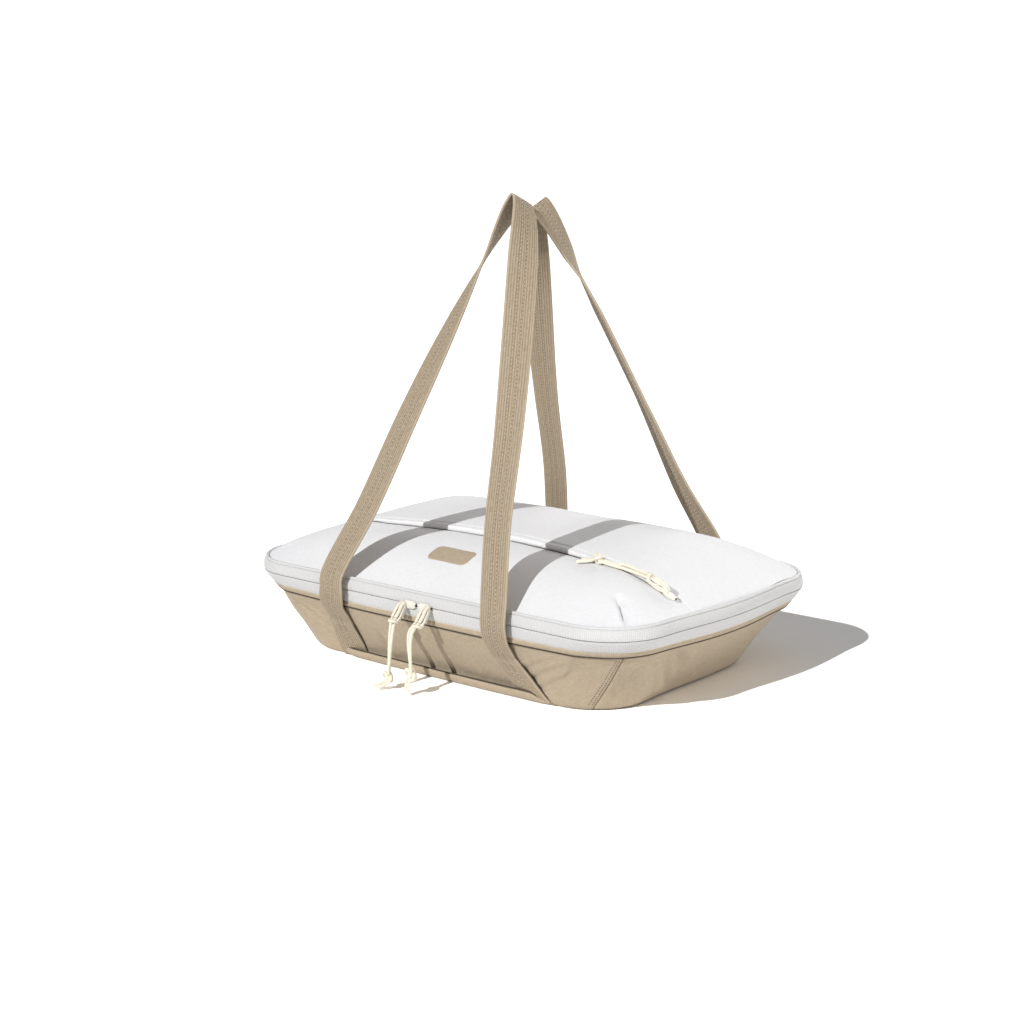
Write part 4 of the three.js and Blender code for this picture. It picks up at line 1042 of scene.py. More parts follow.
    def _base_strip(self, name: str, side: Side, left: float, right: float) -> None:
        """Leaf of canvas over the strap ends, standing off the wall, with a near-black sheet of painted shade behind
        its top edge.
        """
        shape, long = self.shape, right - left

        def top(x: float) -> float:
            """Height of the strip, which runs out to a point at its right end."""
            return self.strip_height * min(1.0, 0.06 + (right - x) / 22) - 0.3 * ripple(x, 0, 20, 3.1)

        def off_wall(x: float, z: float, farther: float) -> Vector:
            """Point off the wall, where the strip's middle stands, or farther out."""
            stand = lerp(1.4, 4.2, smooth_step(min(x - left, right - x) / 16))
            stand += shape.hollow(x, z) + 0.25 * ripple(x, z, 14, 1.7) + farther
            return shape.wall_point(x, z, side) + Vector((0, side.value * stand, 0))

        def leaf(u: float, v: float) -> Vector:
            x = lerp(left, right, u)
            return off_wall(x, lerp(0.25, top(x), v), 0.8 * arch(v) - 0.9 * (1 - v) ** 4)

        # painted shade: this sheet sits behind the leaf's top edge in the near-black finish, for the shade in that gap
        def fold(u: float, v: float) -> Vector:
            x = lerp(left + 9, right - 2, u)
            rise = 0.75 + 0.45 * smooth_step((x - 20) / 60)
            return off_wall(x, lerp(0.6, top(x) + rise, v), -1.3)

        for part, columns, rows, spot, material, nodes, thickness in (
            ("canvas", 96, 6, leaf, self.palette.taupe, (name,), 1.1),
            ("fold", 90, 2, fold, self.palette.seam, (), 0.8),
        ):
            place = spot if side is Side.FRONT else lambda u, v, spot=spot: spot(1 - u, v)
            bm = mapped_sheet(columns, rows, place, lambda u, v: (u * long, v * self.strip_height))
            mesh_piece(f"{name}_{part}", bm, Fitting("base", Slot.TAUPE, material, nodes), thickness)
        up = Vector((0, side.value, -0.45)).normalized()
        seams = []
        for x in (-11, -5, 17, 23):
            line = [leaf((x - left) / long, v) + Vector((0, side.value * 0.15, 0)) for v in (0.25, 0.5, 0.75)]
            seams.append(Seam(line, up, 3.2, (2.2, 0.7, 0.5)))
        sewn_piece(f"{name}_tacks", seams, Fitting("base", Slot.TAUPE, self.palette.thread))

    def _seam_stitches(self) -> None:
        """Twin rows beside each corner seam, in near-black that paints the shade in the stitch holes."""
        shape, seams = self.shape, []
        for corner in (1.5, 3.5, 5.5, 7.5):
            track = Track(shape, corner - 0.4, corner)
            whole = Track(shape, corner - 2, corner).length
            long = 1 if corner % 4 == 1.5 else -1
            for back in (2.6, 5.6):
                turn = track.turn(1 - back / track.length)
                along = (shape.rim.at(turn + 0.02) - shape.rim.at(turn - 0.02)).normalized()
                line = [
                    shape.on_wall(turn + long * shape.slant(z), self._wall_inset(whole - back, whole, z) - 0.1, z)
                    for z in np.linspace(5, 50, 24).tolist()
                ]
                up = Vector((along.y, -along.x, -0.5)).normalized()
                seams.append(Seam(line, up, 2.7, (1.7, 0.6, 0.4)))
        # the stitches take the near-black painted shade finish, not a thread colour
        sewn_piece("corner_seam_stitches", seams, Fitting("base", Slot.TAUPE, self.palette.seam))


@dataclass
class Rim:
    """Binding, zip tapes, coils, piping and hinge strips."""

    shape: CarrierShape
    palette: Palette

    def build(self) -> None:
        """Makes all the rim's pieces, each a closed section of (inset, height) points carried along it."""
        palette = self.palette
        everywhere, zipped, hinged = (0.0, 8.0), (-3.0, 4.0), (4.0, 5.0)
        circle = [2 * math.pi * i / 12 for i in range(12)]
        for name, span, fitting, profile in (
            (
                "binding_cloth", everywhere, Fitting("base", Slot.TAUPE, palette.taupe, ("rim_binding",)),
                [(1.2, 52.2), (0.7, 52.8), (0.55, 54.1), (0.65, 55.5), (1.0, 56.1), (2.8, 56.0), (2.8, 52.3)],
            ),
            # painted shadow: a near-black band under the binding, where shade falls in the gap above the wall
            (
                "binding_shadow_line", everywhere, Fitting("base", Slot.TAUPE, palette.seam),
                [(1.25, 51.0), (1.15, 52.4), (2.8, 52.4), (2.8, 51.0)],
            ),
            # a seam line in thread colour, darker than tape and binding to paint the shade in their join
            (
                "tape_seam_and_shade", everywhere, Fitting("base", Slot.TAUPE, palette.thread),
                [(0.95, 55.9), (0.95, 56.7), (2.8, 56.7), (2.8, 55.9)],
            ),
            (
                "lower_tape_cloth", everywhere, Fitting("base", Slot.TAPE, palette.tape, ("lower_zip_tape",)),
                [(1.2, 56.5), (0.6, 56.9), (0.25, 58.6), (0.1, 61.2), (0.1, 63.6), (0.15, 65.6), (0.45, 66.5),
                 (1.5, 66.5), (2.2, 56.6)],
            ),
            (
                "upper_tape_cloth", everywhere, Fitting("lid", Slot.TAPE, palette.tape, ("upper_zip_tape",)),
                [(0.5, 67.0), (0.15, 67.6), (0.1, 69.4), (0.35, 71.6), (0.9, 73.8), (1.5, 75.3), (2.3, 75.9),
                 (3.2, 75.6), (1.5, 67.0)],
            ),
            (
                "piping_roll", everywhere, Fitting("lid", Slot.WHITE, palette.piping, ("lid_piping",)),
                [(3.3 - 1.4 * math.cos(a), 76.7 + 1.3 * math.sin(a)) for a in circle],
            ),
            # coil teeth in the darkened coil finish, which also paints the shade between the tapes
            *(
                (
                    f"{half}_zip_coil_teeth", zipped, Fitting(body, Slot.COIL, palette.coil, (f"{half}_zip_coil",)),
                    [(1.2, low), (1.2, low + 1.5), (2.95, low + 1.5), (2.95, low)],
                )
                for half, body, low in (("lower", "base", 65.2), ("upper", "lid", 66.95))
            ),
            (
                "hinge_cloth_lower", hinged, Fitting("base", Slot.TAPE, palette.tape, ("hinge_strip_lower",)),
                [(0.1, 56.8), (-0.85, 61), (-0.9, 66.6), (-0.2, 66.6), (-0.1, 61), (0.8, 56.8)],
            ),
            (
                "hinge_cloth_upper", hinged, Fitting("lid", Slot.TAPE, palette.tape, ("hinge_strip_upper",)),
                [(-0.9, 67), (-0.6, 71.5), (0.4, 75.4), (1.1, 75.4), (0.2, 71.5), (-0.2, 67)],
            ),
        ):
            track = Track(self.shape, *span)
            loop = [*profile, profile[0]]
            arcs = running_length(map(Vector, loop))
            bm = track.sweep(
                round(track.length / 3),
                [(inset, 1, z) for inset, z in loop],
                lambda u, v, track=track, arcs=arcs: (u * track.length, arcs[round(v * (len(arcs) - 1))]),
            )
            mesh_piece(name, bm, fitting, sharp=60)


@dataclass
class Lid:
    """Pocket panel, back panel, welt, pocket zip, label and the lid's padded lining.

    Attributes:
        inset: How far the panels' edge lies inside the rim.
        label: The label's length, width and corner radius.
    """

    shape: CarrierShape
    heights: LidShape
    palette: Palette
    inset: float = 4.4
    label: tuple[float, float, float] = (42, 18, 5)
    label_forward: float = 97
    darts: tuple[Line, ...] = ((165, -93, 193, -118.5), (-165, -93, -193, -118.5))
    edge: Outline = field(init=False)

    def __post_init__(self) -> None:
        self.edge = self.shape.outline(1, self.inset)

    def build(self) -> None:
        """Makes all the lid's pieces."""
        self._pocket_panel()
        self._back_panel()
        self._welt()
        self._pocket_zip()
        self._label()
        self._lining()

    def crease(self, x: float, y: float) -> float:
        """Pinched darts and soft folds in the lid's cloth, in millimetres of height."""
        total = 0.0
        for dart in self.darts:
            share, aside = beside(x, y, dart)
            aside *= math.copysign(1, dart[0])
            pinch = lerp(bell(aside, 4.0), bell(aside, 1.5), smooth_step((share - 0.12) / 0.3))
            total += arch(share) ** 0.8 * (-3.6 * pinch - 0.9 * bell(aside + 5, 4.5) + 1.5 * bell(aside - 4.4, 3.6))
        inner = smooth_step((self.edge.front_y(x) - abs(y)) / 25) * smooth_step((self.edge.half_length - abs(x)) / 25)
        return total + inner * (0.7 * ripple(x + 0.4 * y, y, 55, 2.3) + 0.25 * ripple(x, y, 21, 8.8))

    def _panel(
        self, name: str, grid: tuple[int, int], low: Callable, high: Callable, height: Callable,
        fitting: Fitting, thickness: float = 1.0, edge: Outline | None = None,
    ) -> None:
        """Makes a panel between two lines across the lid.

        Args:
            name: Name of the new object.
            grid: Faces along and across the panel.
            low: Depth of its front line at an x.
            high: The same for its back line.
            height: Height for x, y and the share of the way from the front line to the back line.
            fitting: Where the piece belongs.
            thickness: Thickness of its cloth.
            edge: Outline that its ends follow, if it isn't the lid's own.
        """
        edge = edge or self.edge

        def place(u: float, v: float) -> Vector:
            x = edge.column(u)
            y = lerp(low(x), high(x), v)
            bowed = edge.bowed(x, y)
            return Vector((bowed, y, height(bowed, y, v)))

        mesh_piece(name, mapped_sheet(*grid, place), fitting, thickness)

    def _front_line(self, x: float) -> float:
        """Front edge of the lid's panels."""
        return -self.edge.front_y(x)

    @staticmethod
    def _open(x: float) -> float:
        """1 along the pocket's zip, falling to 0 past its right end, where the cloth closes over it."""
        return smooth_step((191 - x) / 6)

    def _pocket_panel(self) -> None:
        """The pocket's front panel, tucked down beside the piping."""
        seam = self.heights.seam_y

        def height(x: float, y: float, _share: float) -> float:
            tuck = 0.8 * bell(y - self._front_line(x), 1.4)
            tuck += 0.9 * self._open(x) * bell(seam(x) - y, 1.6)
            closed = smooth_step((y - seam(x) + 8) / 8) * (1 - self._open(x))
            return self.heights.pocket(x, y) + self.crease(x, y) * (1 - closed) - tuck

        def back_line(x: float) -> float:
            """Back edge of the panel, in front of the welt and then over it."""
            return seam(x) - 0.5 + 6.6 * (1 - self._open(x))

        fitting = Fitting("lid", Slot.WHITE, self.palette.white, ("lid_pocket_panel",))
        self._panel("pocket_cloth", (300, 80), self._front_line, back_line, height, fitting)

    def _back_panel(self) -> None:
        """The lid behind the pocket's welt."""

        def height(x: float, y: float, share: float) -> float:
            tuck = 0.8 * bell(y + self._front_line(x), 1.4)
            return self.heights.dome(x, y) + self.crease(x, y) * smooth_step(share * 8) - tuck

        def front_line(x: float) -> float:
            return self.heights.seam_y(x) + self.heights.welt + 0.3

        fitting = Fitting("lid", Slot.WHITE, self.palette.white, ("lid_back_panel",))
        self._panel("back_cloth", (220, 70), front_line, self.edge.front_y, height, fitting)

    def _welt(self) -> None:
        """Folded edge over the pocket's zip, as one rounded fold of cloth."""
        lid, edge = self.heights, self.edge
        profile = [
            (6.2, 1, -0.7), (5.9, 1, -0.05), (4.8, 1, 0.12), (3.2, 1, 0.25), (1.5, 1, 0.42), (0.5, 1, 0.35),
            (0.0, 1, 0.0), (-0.15, 0.66, 0), (-0.1, 0.33, 0), (0.15, 0, 0.1), (1.2, 0, -0.3), (3.5, 0.2, -0.8),
        ]
        count = len(profile)

        def place(u: float, v: float) -> Vector:
            x = edge.column(u)
            step, high, lift = profile[round(v * count) % count]
            y = lid.seam_y(x) + step
            bowed = edge.bowed(x, y)
            top = lid.dome(bowed, y)
            bottom = min(top - 0.6, lid.pocket(bowed, lid.seam_y(x)) - 0.4)
            sunk = 1.6 * (1 - self._open(bowed))
            return Vector((bowed, y, lerp(bottom, top, high) + lift - sunk + 0.15 * ripple(x, step, 12, 5.5)))

        bm = mapped_sheet(150, count, place, lambda u, v: (edge.column(u), v * 18), closed=True)
        mesh_piece("welt_fold", bm, Fitting("lid", Slot.WHITE, self.palette.white, ("pocket_welt",)), sharp=60)
        row = [(x, lid.seam_y(x) + 4.3) for x in np.linspace(-190, 184, 120)]
        seam = Seam([Vector((x, y, lid.dome(x, y) + 0.25)) for x, y in row], UP, 3.4, (2.2, 0.55, 0.35))
        sewn_piece("welt_stitches", [seam], Fitting("lid", Slot.WHITE, self.palette.white_thread))

    def _pocket_zip(self) -> None:
        """The pocket's zip tape and coil, low in the channel in front of the welt."""
        for name, grid, front, back, height, fitting, thickness in (
            (
                "pocket_tape_cloth", (100, 8), -8, 5,
                lambda x, y, share: self.heights.pocket(x, y) - 3.2 + 1.3 * self._open(x),
                Fitting("lid", Slot.TAPE, self.palette.tape, ("pocket_zip_tape", "pocket_lining")), 0.8,
            ),
            # coil teeth in the darkened coil finish, which also paints the shade in the channel
            (
                "pocket_coil_teeth", (100, 4), -2.7, -0.3,
                lambda x, y, share: self.heights.pocket(x, y) - 3 + 2 * self._open(x) + 0.8 * arch(share),
                Fitting("lid", Slot.COIL, self.palette.coil, ("pocket_zip_coil",)), 0.7,
            ),
        ):
            low, high = (lambda x, step=step: self.heights.seam_y(x) + step for step in (front, back))
            inner = self.shape.outline(1, self.inset + 8)
            self._panel(name, grid, low, high, height, fitting, thickness, inner)

    def _label(self) -> None:
        """Plain woven label with a stitched edge, curved to the panel."""
        length, width, corner = self.label

        def spot(a: float, b: float, shrink: float, lift: float) -> Vector:
            """Point of the rounded label for shares from -1 to 1, drawn in by shrink and lifted off the cloth."""
            hx, hy, r = length / 2 - shrink, width / 2 - shrink, corner - shrink
            x, y = a * hx, b * hy
            over_x, over_y = abs(x) - (hx - r), abs(y) - (hy - r)
            if over_x > 0 and over_y > 0:
                pull = max(over_x, over_y) / math.hypot(over_x, over_y)
                x = math.copysign(hx - r + over_x * pull, x)
                y = math.copysign(hy - r + over_y * pull, y)
            y -= self.label_forward
            return Vector((x, y, self.heights.pocket(x, y) + self.crease(x, y) + lift))

        def place(u: float, v: float) -> Vector:
            a, b = 2 * u - 1, 2 * v - 1
            return spot(a, b, 0.0, 0.75 - 0.45 * max(abs(a) ** 12, abs(b) ** 8))

        bm = mapped_sheet(40, 20, place, lambda u, v: (u * length, v * width))
        mesh_piece("lid_label", bm, Fitting("lid", Slot.WEBBING, self.palette.taupe, ("lid_patch",)), 0.7)
        half = [(s, -1) for s in np.linspace(-1, 1, 41)] + [(1, s) for s in np.linspace(-1, 1, 17)[1:]]
        line = [spot(a, b, 1.3, 0.85) for a, b in (*half, *((-a, -b) for a, b in half))]
        seam = Seam(line, UP, 2.6, (1.6, 0.5, 0.3))
        sewn_piece("lid_label_stitches", [seam], Fitting("lid", Slot.WEBBING, self.palette.thread))

    def _lining(self) -> None:
        """Padded lid lining as one closed body, with a seam round its edge."""
        lid, edge = self.heights, self.shape.outline(1, self.inset + 0.6)

        def top(x: float, y: float) -> float:
            back = smooth_step((y - lid.seam_y(x) - 4) / 8)
            return lerp(min(lid.pocket(x, y), lid.dome(x, y)) - 4.6, lid.dome(x, y) - 1.6, back)

        def place(u: float, v: float) -> Vector:
            x = edge.column(u)
            reach = edge.front_y(x)
            upper = v <= 0.5
            share = 2 * v if upper else 2 - 2 * v
            share = lerp(share, 0.5 - 0.5 * math.cos(math.pi * share), 0.6)
            y = lerp(-reach, reach, share)
            bowed = edge.bowed(x, y)
            inward = clamp(min(min(share, 1 - share) * 2 * reach / 8, (edge.half_length - abs(bowed)) / 8))
            rim = math.sqrt(1 - (1 - inward) ** 2)
            low, high = max(lid.dome(bowed, y) - 11.2, 67.9), top(bowed, y)
            middle = lerp(low, min(high, lid.edge_height), 0.5)
            soft = 0.4 * ripple(bowed, y, 34, 6.1) * rim
            return Vector((bowed, y, lerp(middle, high if upper else low - soft - 0.3, rim)))

        bm = mapped_sheet(110, 96, place, lambda u, v: (u * 420, v * 560), closed=True)
        fitting = Fitting("lid", Slot.LINING, self.palette.lining, ("lid_lining", "lid_insulation"))
        mesh_piece("padded_lid_lining", bm, fitting, sharp=80)


@dataclass(frozen=True)
class Twist:
    """Share of a quarter turn that a leg has made at each share of its height."""

    heights: tuple[float, ...]
    turns: tuple[float, ...]

    def at(self, climb: float) -> float:
        """Angle turned, in radians."""
        return math.pi / 2 * float(np.interp(climb, self.heights, self.turns))


EVEN_TWIST = Twist(
    (0, 0.3, 0.42, 0.54, 0.62, 0.7, 0.78, 0.87, 0.93, 1), (0, 0, 0.03, 0.1, 0.18, 0.28, 0.41, 0.6, 0.77, 1)
)
EARLY_TWIST = Twist(
    (0, 0.2, 0.35, 0.46, 0.54, 0.7, 0.8, 0.87, 0.93, 1), (0, 0.03, 0.09, 0.17, 0.24, 0.36, 0.47, 0.6, 0.77, 1)
)
LONG_TWIST = Twist((0, 0.1, 0.25, 0.45, 0.7, 0.79, 0.87, 1), (0, 0.1, 0.24, 0.36, 0.38, 0.47, 0.75, 1))


@dataclass(frozen=True)
class Handle:
    """One carrying loop: a strap that leaves the wall, leans in and turns on edge at its top.

    Attributes:
        name: Name of its CAD body, and the start of its pieces' names.
        feet: Where its left and right legs leave the stitching, along the wall.
        spread: Half of the distance between the legs over the lid's edge.
        bend_top: Height where the legs start to lean.
        lean: Share of the height and of the spread at points up each leg.
    """

    name: str
    side: Side
    apex: Vector
    feet: tuple[float, float]
    twists: tuple[Twist, Twist]
    shape: CarrierShape
    palette: Palette
    spread: float = 88
    bend_top: float = 78
    lean: tuple[tuple[float, float], ...] = (
        (0.187, 0.8), (0.426, 0.617), (0.661, 0.408), (0.855, 0.218), (0.935, 0.13), (0.98, 0.06)
    )

    def _leg(self, foot: float) -> list[Vector]:
        """Points from the stitching on the wall to just below the top, the fifth being the bend."""
        sign = self.side.value
        _, normal = self.shape.wall_axes(foot, SEW_HEIGHT, self.side)
        start = self.shape.wall_point(foot, SEW_HEIGHT + 0.15, self.side) + normal * 1.4
        binding = Vector((foot, sign * 142.9, 51.8))
        x = math.copysign(self.spread, foot)
        bend = Vector((x, sign * 147.8, self.bend_top))
        leaning = [
            Vector((lerp(self.apex.x, x, wide), lerp(bend.y, self.apex.y, high), lerp(bend.z, self.apex.z, high)))
            for high, wide in self.lean
        ]
        at_zip = Vector((x, sign * 148.6, self.shape.zip_line))
        return [start, lerp(start, binding, 0.5), binding, at_zip, bend, *leaning]

    def stations(self) -> list[Station]:
        """Stations along the whole loop."""
        left, right = (self._leg(foot) for foot in self.feet)
        points = smooth_path([*left, self.apex, *right[::-1]], 3)
        bend = left[4]
        lean = Vector((0, self.apex.y - bend.y, self.apex.z - bend.z)).normalized()
        plane = -RIGHT.cross(lean)
        middle = min(range(len(points)), key=lambda i: (points[i] - self.apex).length)
        result = []
        for i, (centre, along) in enumerate(zip(points, tangents(points))):
            climb = clamp((centre.z - bend.z) / (self.apex.z - bend.z))
            turn = self.twists[0 if i < middle else 1].at(climb)
            own = Vector((0, abs(along.z), -along.y * math.copysign(1, along.z))).normalized()
            free = smooth_step((centre.z - self.shape.zip_line) / (2 * (self.bend_top - self.shape.zip_line)))
            flat = lerp(own, plane, free).normalized().cross(along).normalized()
            edge = along.cross(flat).normalized()
            across = flat * math.cos(turn) + edge * (self.side.value * math.sin(turn))
            result.append(Station(centre, across, along.cross(across).normalized()))
        return result

    def build(self) -> list[bpy.types.Object]:
        """Makes the strap and its stitch rows, and returns them."""
        ribbon = Ribbon(self.stations())
        cloth = Fitting(self.name, Slot.WEBBING, self.palette.webbing, (f"{self.name}_strap",))
        strap = ribbon.make(f"{self.name}_webbing", cloth)
        seams = ribbon.seams(1, len(ribbon.stations) - 1, (1, -1))
        thread = Fitting(self.name, Slot.WEBBING, self.palette.thread)
        return [strap, sewn_piece(f"{self.name}_stitches", seams, thread)]


@dataclass(frozen=True)
class Axes:
    """Local axes: across the pull, down along it, and off the surface."""

    origin: Vector
    across: Vector
    down: Vector
    out: Vector

    def at(self, a: float, b: float, c: float) -> Vector:
        """Point at local distances."""
        return self.origin + self.across * a + self.down * b + self.out * c


@dataclass(frozen=True)
class Pull:
    """A zip pull: wire ring, doubled cord with its hitch, and the knot that joins the strands.

    Attributes:
        name: Name of its CAD body, and the start of its pieces' names.
        axes: Axes of the ring.
        strands: Points of the two strands from the hitch on.
        wire: Radius of the ring's wire.
        throat: The ring's width in the slider's staple.
    """

    name: str
    axes: Axes
    knot_axes: Axes
    strands: Sequence[Sequence[Vector]]
    palette: Palette
    knot_width: float = 1.3
    wire: float = 0.8
    length: float = 15
    width: float = 9.4
    throat: float = 5

    def _ring(self) -> None:
        """Wire ring, narrow in the slider's staple and wide where the cord hangs."""
        points = []
        for i in range(72):
            turn = 2 * math.pi * i / 72
            aside = math.copysign(abs(math.sin(turn)) ** 0.45, math.sin(turn))
            down = math.copysign(abs(math.cos(turn)) ** 0.7, -math.cos(turn)) / 2 + 0.5
            points.append(self.axes.at(aside * lerp(self.throat, self.width, down) / 2, down * self.length, 0))
        fitting = Fitting(self.name, Slot.ENAMEL, self.palette.enamel, (f"{self.name}_ring",))
        curve_piece(f"{self.name}_ring_wire", points, self.wire, fitting, closed=True)

    def _hitch(self, sign: int) -> list[Vector]:
        """Half of the hitch, from the middle of its bight up behind the ring, over its throat and down in front."""
        end = self.length
        route = (
            (0, end + 3.2, 3.4), (2.2, end + 2.4, 2.4), (2.9, end + 1.4, -0.4),
            (1.9, end - 4, -2.0), (1.5, 4, -2.2), (1.4, 0.6 - self.wire - CORD_RADIUS, 0), (1.5, 2.5, 2.1),
            (1.9, end / 2, 2.0), (1.6, end - 1, 1.9),
        )
        return [self.axes.at(sign * a, b, c) for a, b, c in route]

    def _knot(self) -> list[Vector]:
        """Overhand knot pulled tight, as a closed trefoil."""
        points = []
        for t in (2 * math.pi * i / 96 for i in range(96)):
            a = (math.sin(t) + 2 * math.sin(2 * t)) * self.knot_width
            c = (math.cos(t) - 2 * math.cos(2 * t)) * self.knot_width * 0.8
            points.append(self.knot_axes.at(a, -math.sin(3 * t) * self.knot_width * 1.8 + 0.7 * a, c))
        return points

    def build(self) -> None:
        """Makes the ring, strands, hitch and knot."""
        self._ring()
        halves = [self._hitch(sign) for sign in (-1, 1)]
        bight = smooth_path([*halves[0][::-1], *halves[1][1:]], 0.6)
        loose = Fitting(self.name, Slot.CORD, self.palette.cord)
        hitch = curve_piece(f"{self.name}_hitch", bight, CORD_RADIUS, loose)
        knot = curve_piece(f"{self.name}_knot", self._knot(), CORD_RADIUS * 1.1, loose, closed=True)
        first = Fitting(self.name, Slot.CORD, self.palette.cord, (f"{self.name}_cord",))
        for i, (half, strand, fitting) in enumerate(zip(halves, self.strands, (first, loose))):
            points = smooth_path([half[-1], *strand], 0.8)
            piece = curve_piece(f"{self.name}_strand_{i + 1}", points, CORD_RADIUS, fitting)
            length = float(running_length(points)[-1])


@dataclass(frozen=True)
class Slider:
    """A zip slider: a bevelled plate with tapered ends and a staple for its ring.

    Attributes:
        place: Start of its names: left, right or pocket.
        axes: Its axes, with its length across.
        nose: End at which the staple stands, 1 or -1.
        staple_along: Whether the staple spans along the slider rather than over its width.
    """

    place: str
    axes: Axes
    nose: int
    staple_along: bool
    palette: Palette
    length: float = 13
    width: float = 6.6
    thickness: float = 2

    def _plate(self, bm: bmesh.types.BMesh) -> None:
        """Adds the plate."""
        half, wide = self.length / 2, self.width / 2
        outline = [(-half, -wide / 2), (-half + 4, -wide), (half - 4, -wide), (half, -wide / 2)]
        outline += [(-a, -b) for a, b in outline]
        plate = bm.faces.new([bm.verts.new((a, b, 0)) for a, b in outline])
        raised = bmesh.ops.extrude_face_region(bm, geom=[plate])["geom"]
        raised = [v for v in raised if isinstance(v, bmesh.types.BMVert)]
        bmesh.ops.translate(bm, verts=raised, vec=(0, 0, self.thickness))
        bmesh.ops.bevel(bm, geom=bm.edges[:], affect="EDGES", offset=0.45, segments=2, profile=0.5, material=-1)

    def _staple(self, bm: bmesh.types.BMesh) -> None:
        """Adds the staple, a flat bar bent over the ring."""
        middle = RIGHT * self.nose * (self.length / 2 - 2.6)
        span, side = (RIGHT, Vector((0, 1, 0))) if self.staple_along else (Vector((0, 1, 0)), RIGHT)
        rail = [(-1.65, 1.5), (-1.65, 2.8), (-1.1, 4.0), (0, 4.5), (1.1, 4.0), (1.65, 2.8), (1.65, 1.5)]
        bar = ((1, 0.5), (0.7, 1), (-0.7, 1), (-1, 0.5), (-1, -0.5), (-0.7, -1), (0.7, -1), (1, -0.5))
        points = smooth_path([middle + span * s + UP * z for s, z in rail], 0.4)
        rings = []
        for point, along in zip(points, tangents(points)):
            normal = along.cross(side).normalized()
            rings.append([bm.verts.new(point + side * 1.2 * s + normal * 0.5 * t) for s, t in bar])
        for a, b in zip(rings, rings[1:]):
            for i in range(len(bar)):
                bm.faces.new((a[i - 1], a[i], b[i], b[i - 1]))
        for ring in (rings[0], rings[-1]):
            bm.faces.new(ring)

    def build(self) -> None:
        """Makes the slider, and dark beads of painted shade in the openings at its ends."""
        name, axes, body = f"{self.place}_zip_slider", self.axes, f"{self.place}_slider"
        bm = bmesh.new()
        self._plate(bm)
        self._staple(bm)
        bmesh.ops.recalc_face_normals(bm, faces=bm.faces)
        for vert in bm.verts:
            vert.co = axes.at(*vert.co) * MM
        if axes.across.cross(axes.down).dot(axes.out) < 0:
            bmesh.ops.reverse_faces(bm, faces=bm.faces)
        mesh_piece(f"{name}_body", bm, Fitting(body, Slot.ENAMEL, self.palette.enamel, (name,)), sharp=40)
        bm = bmesh.new()
        # painted shade: near-black beads at both ends stand for the shade inside the slider's openings
        for end in (-1, 1):
            mouth = axes.at(end * (self.length / 2 - 0.5), 0, 0.55 * self.thickness)
            add_bead(bm, mouth, axes.across, axes.out, Vector((2.4, 3.6, 2.4)))
        mesh_piece(f"{name}_mouth_shades", bm, Fitting(body, Slot.ENAMEL, self.palette.seam))


@dataclass(frozen=True)
class Hanging:
    """How a pull hangs from a slider on the rim.

    Attributes:
        x: Place of the ring along the rim.
        middle: Place of the slider's middle.
        drop: Height from the ring's end down to the knot, which hangs forward of it.
        sway: Bend of the strands to the right and to the back.
        tails: Points of the two bare ends, from the knot.
    """

    place: str
    x: float
    middle: float
    drop: float
    forward: float
    sway: tuple[float, float]
    knot_width: float
    tails: tuple[tuple[tuple[float, float, float], ...], ...]


LEFT_PULL = Hanging(
    "left", -9.3, -4.2, 45.5, 8, (-1.6, -0.5), 1.3,
    (
        ((-2.6, -2.4, -4.0), (-6.4, -4.0, -6.4), (-10.4, -5.6, -7.5)),
        ((0.4, -2.8, -4.4), (-2.2, -5.4, -6.9), (-5.6, -8.4, -7.6)),
    ),
)
RIGHT_PULL = Hanging(
    "right", 16.4, 12, 38.5, 8.6, (-5.0, -2.4), 1.5,
    (
        ((-3.2, -1.2, -4.5), (-3.6, -2.0, -9.0), (-3.4, -3.0, -13.4)),
        ((-0.5, -1.4, -4.5), (-0.8, -2.4, -9.2), (-0.7, -3.4, -14.6)),
    ),
)


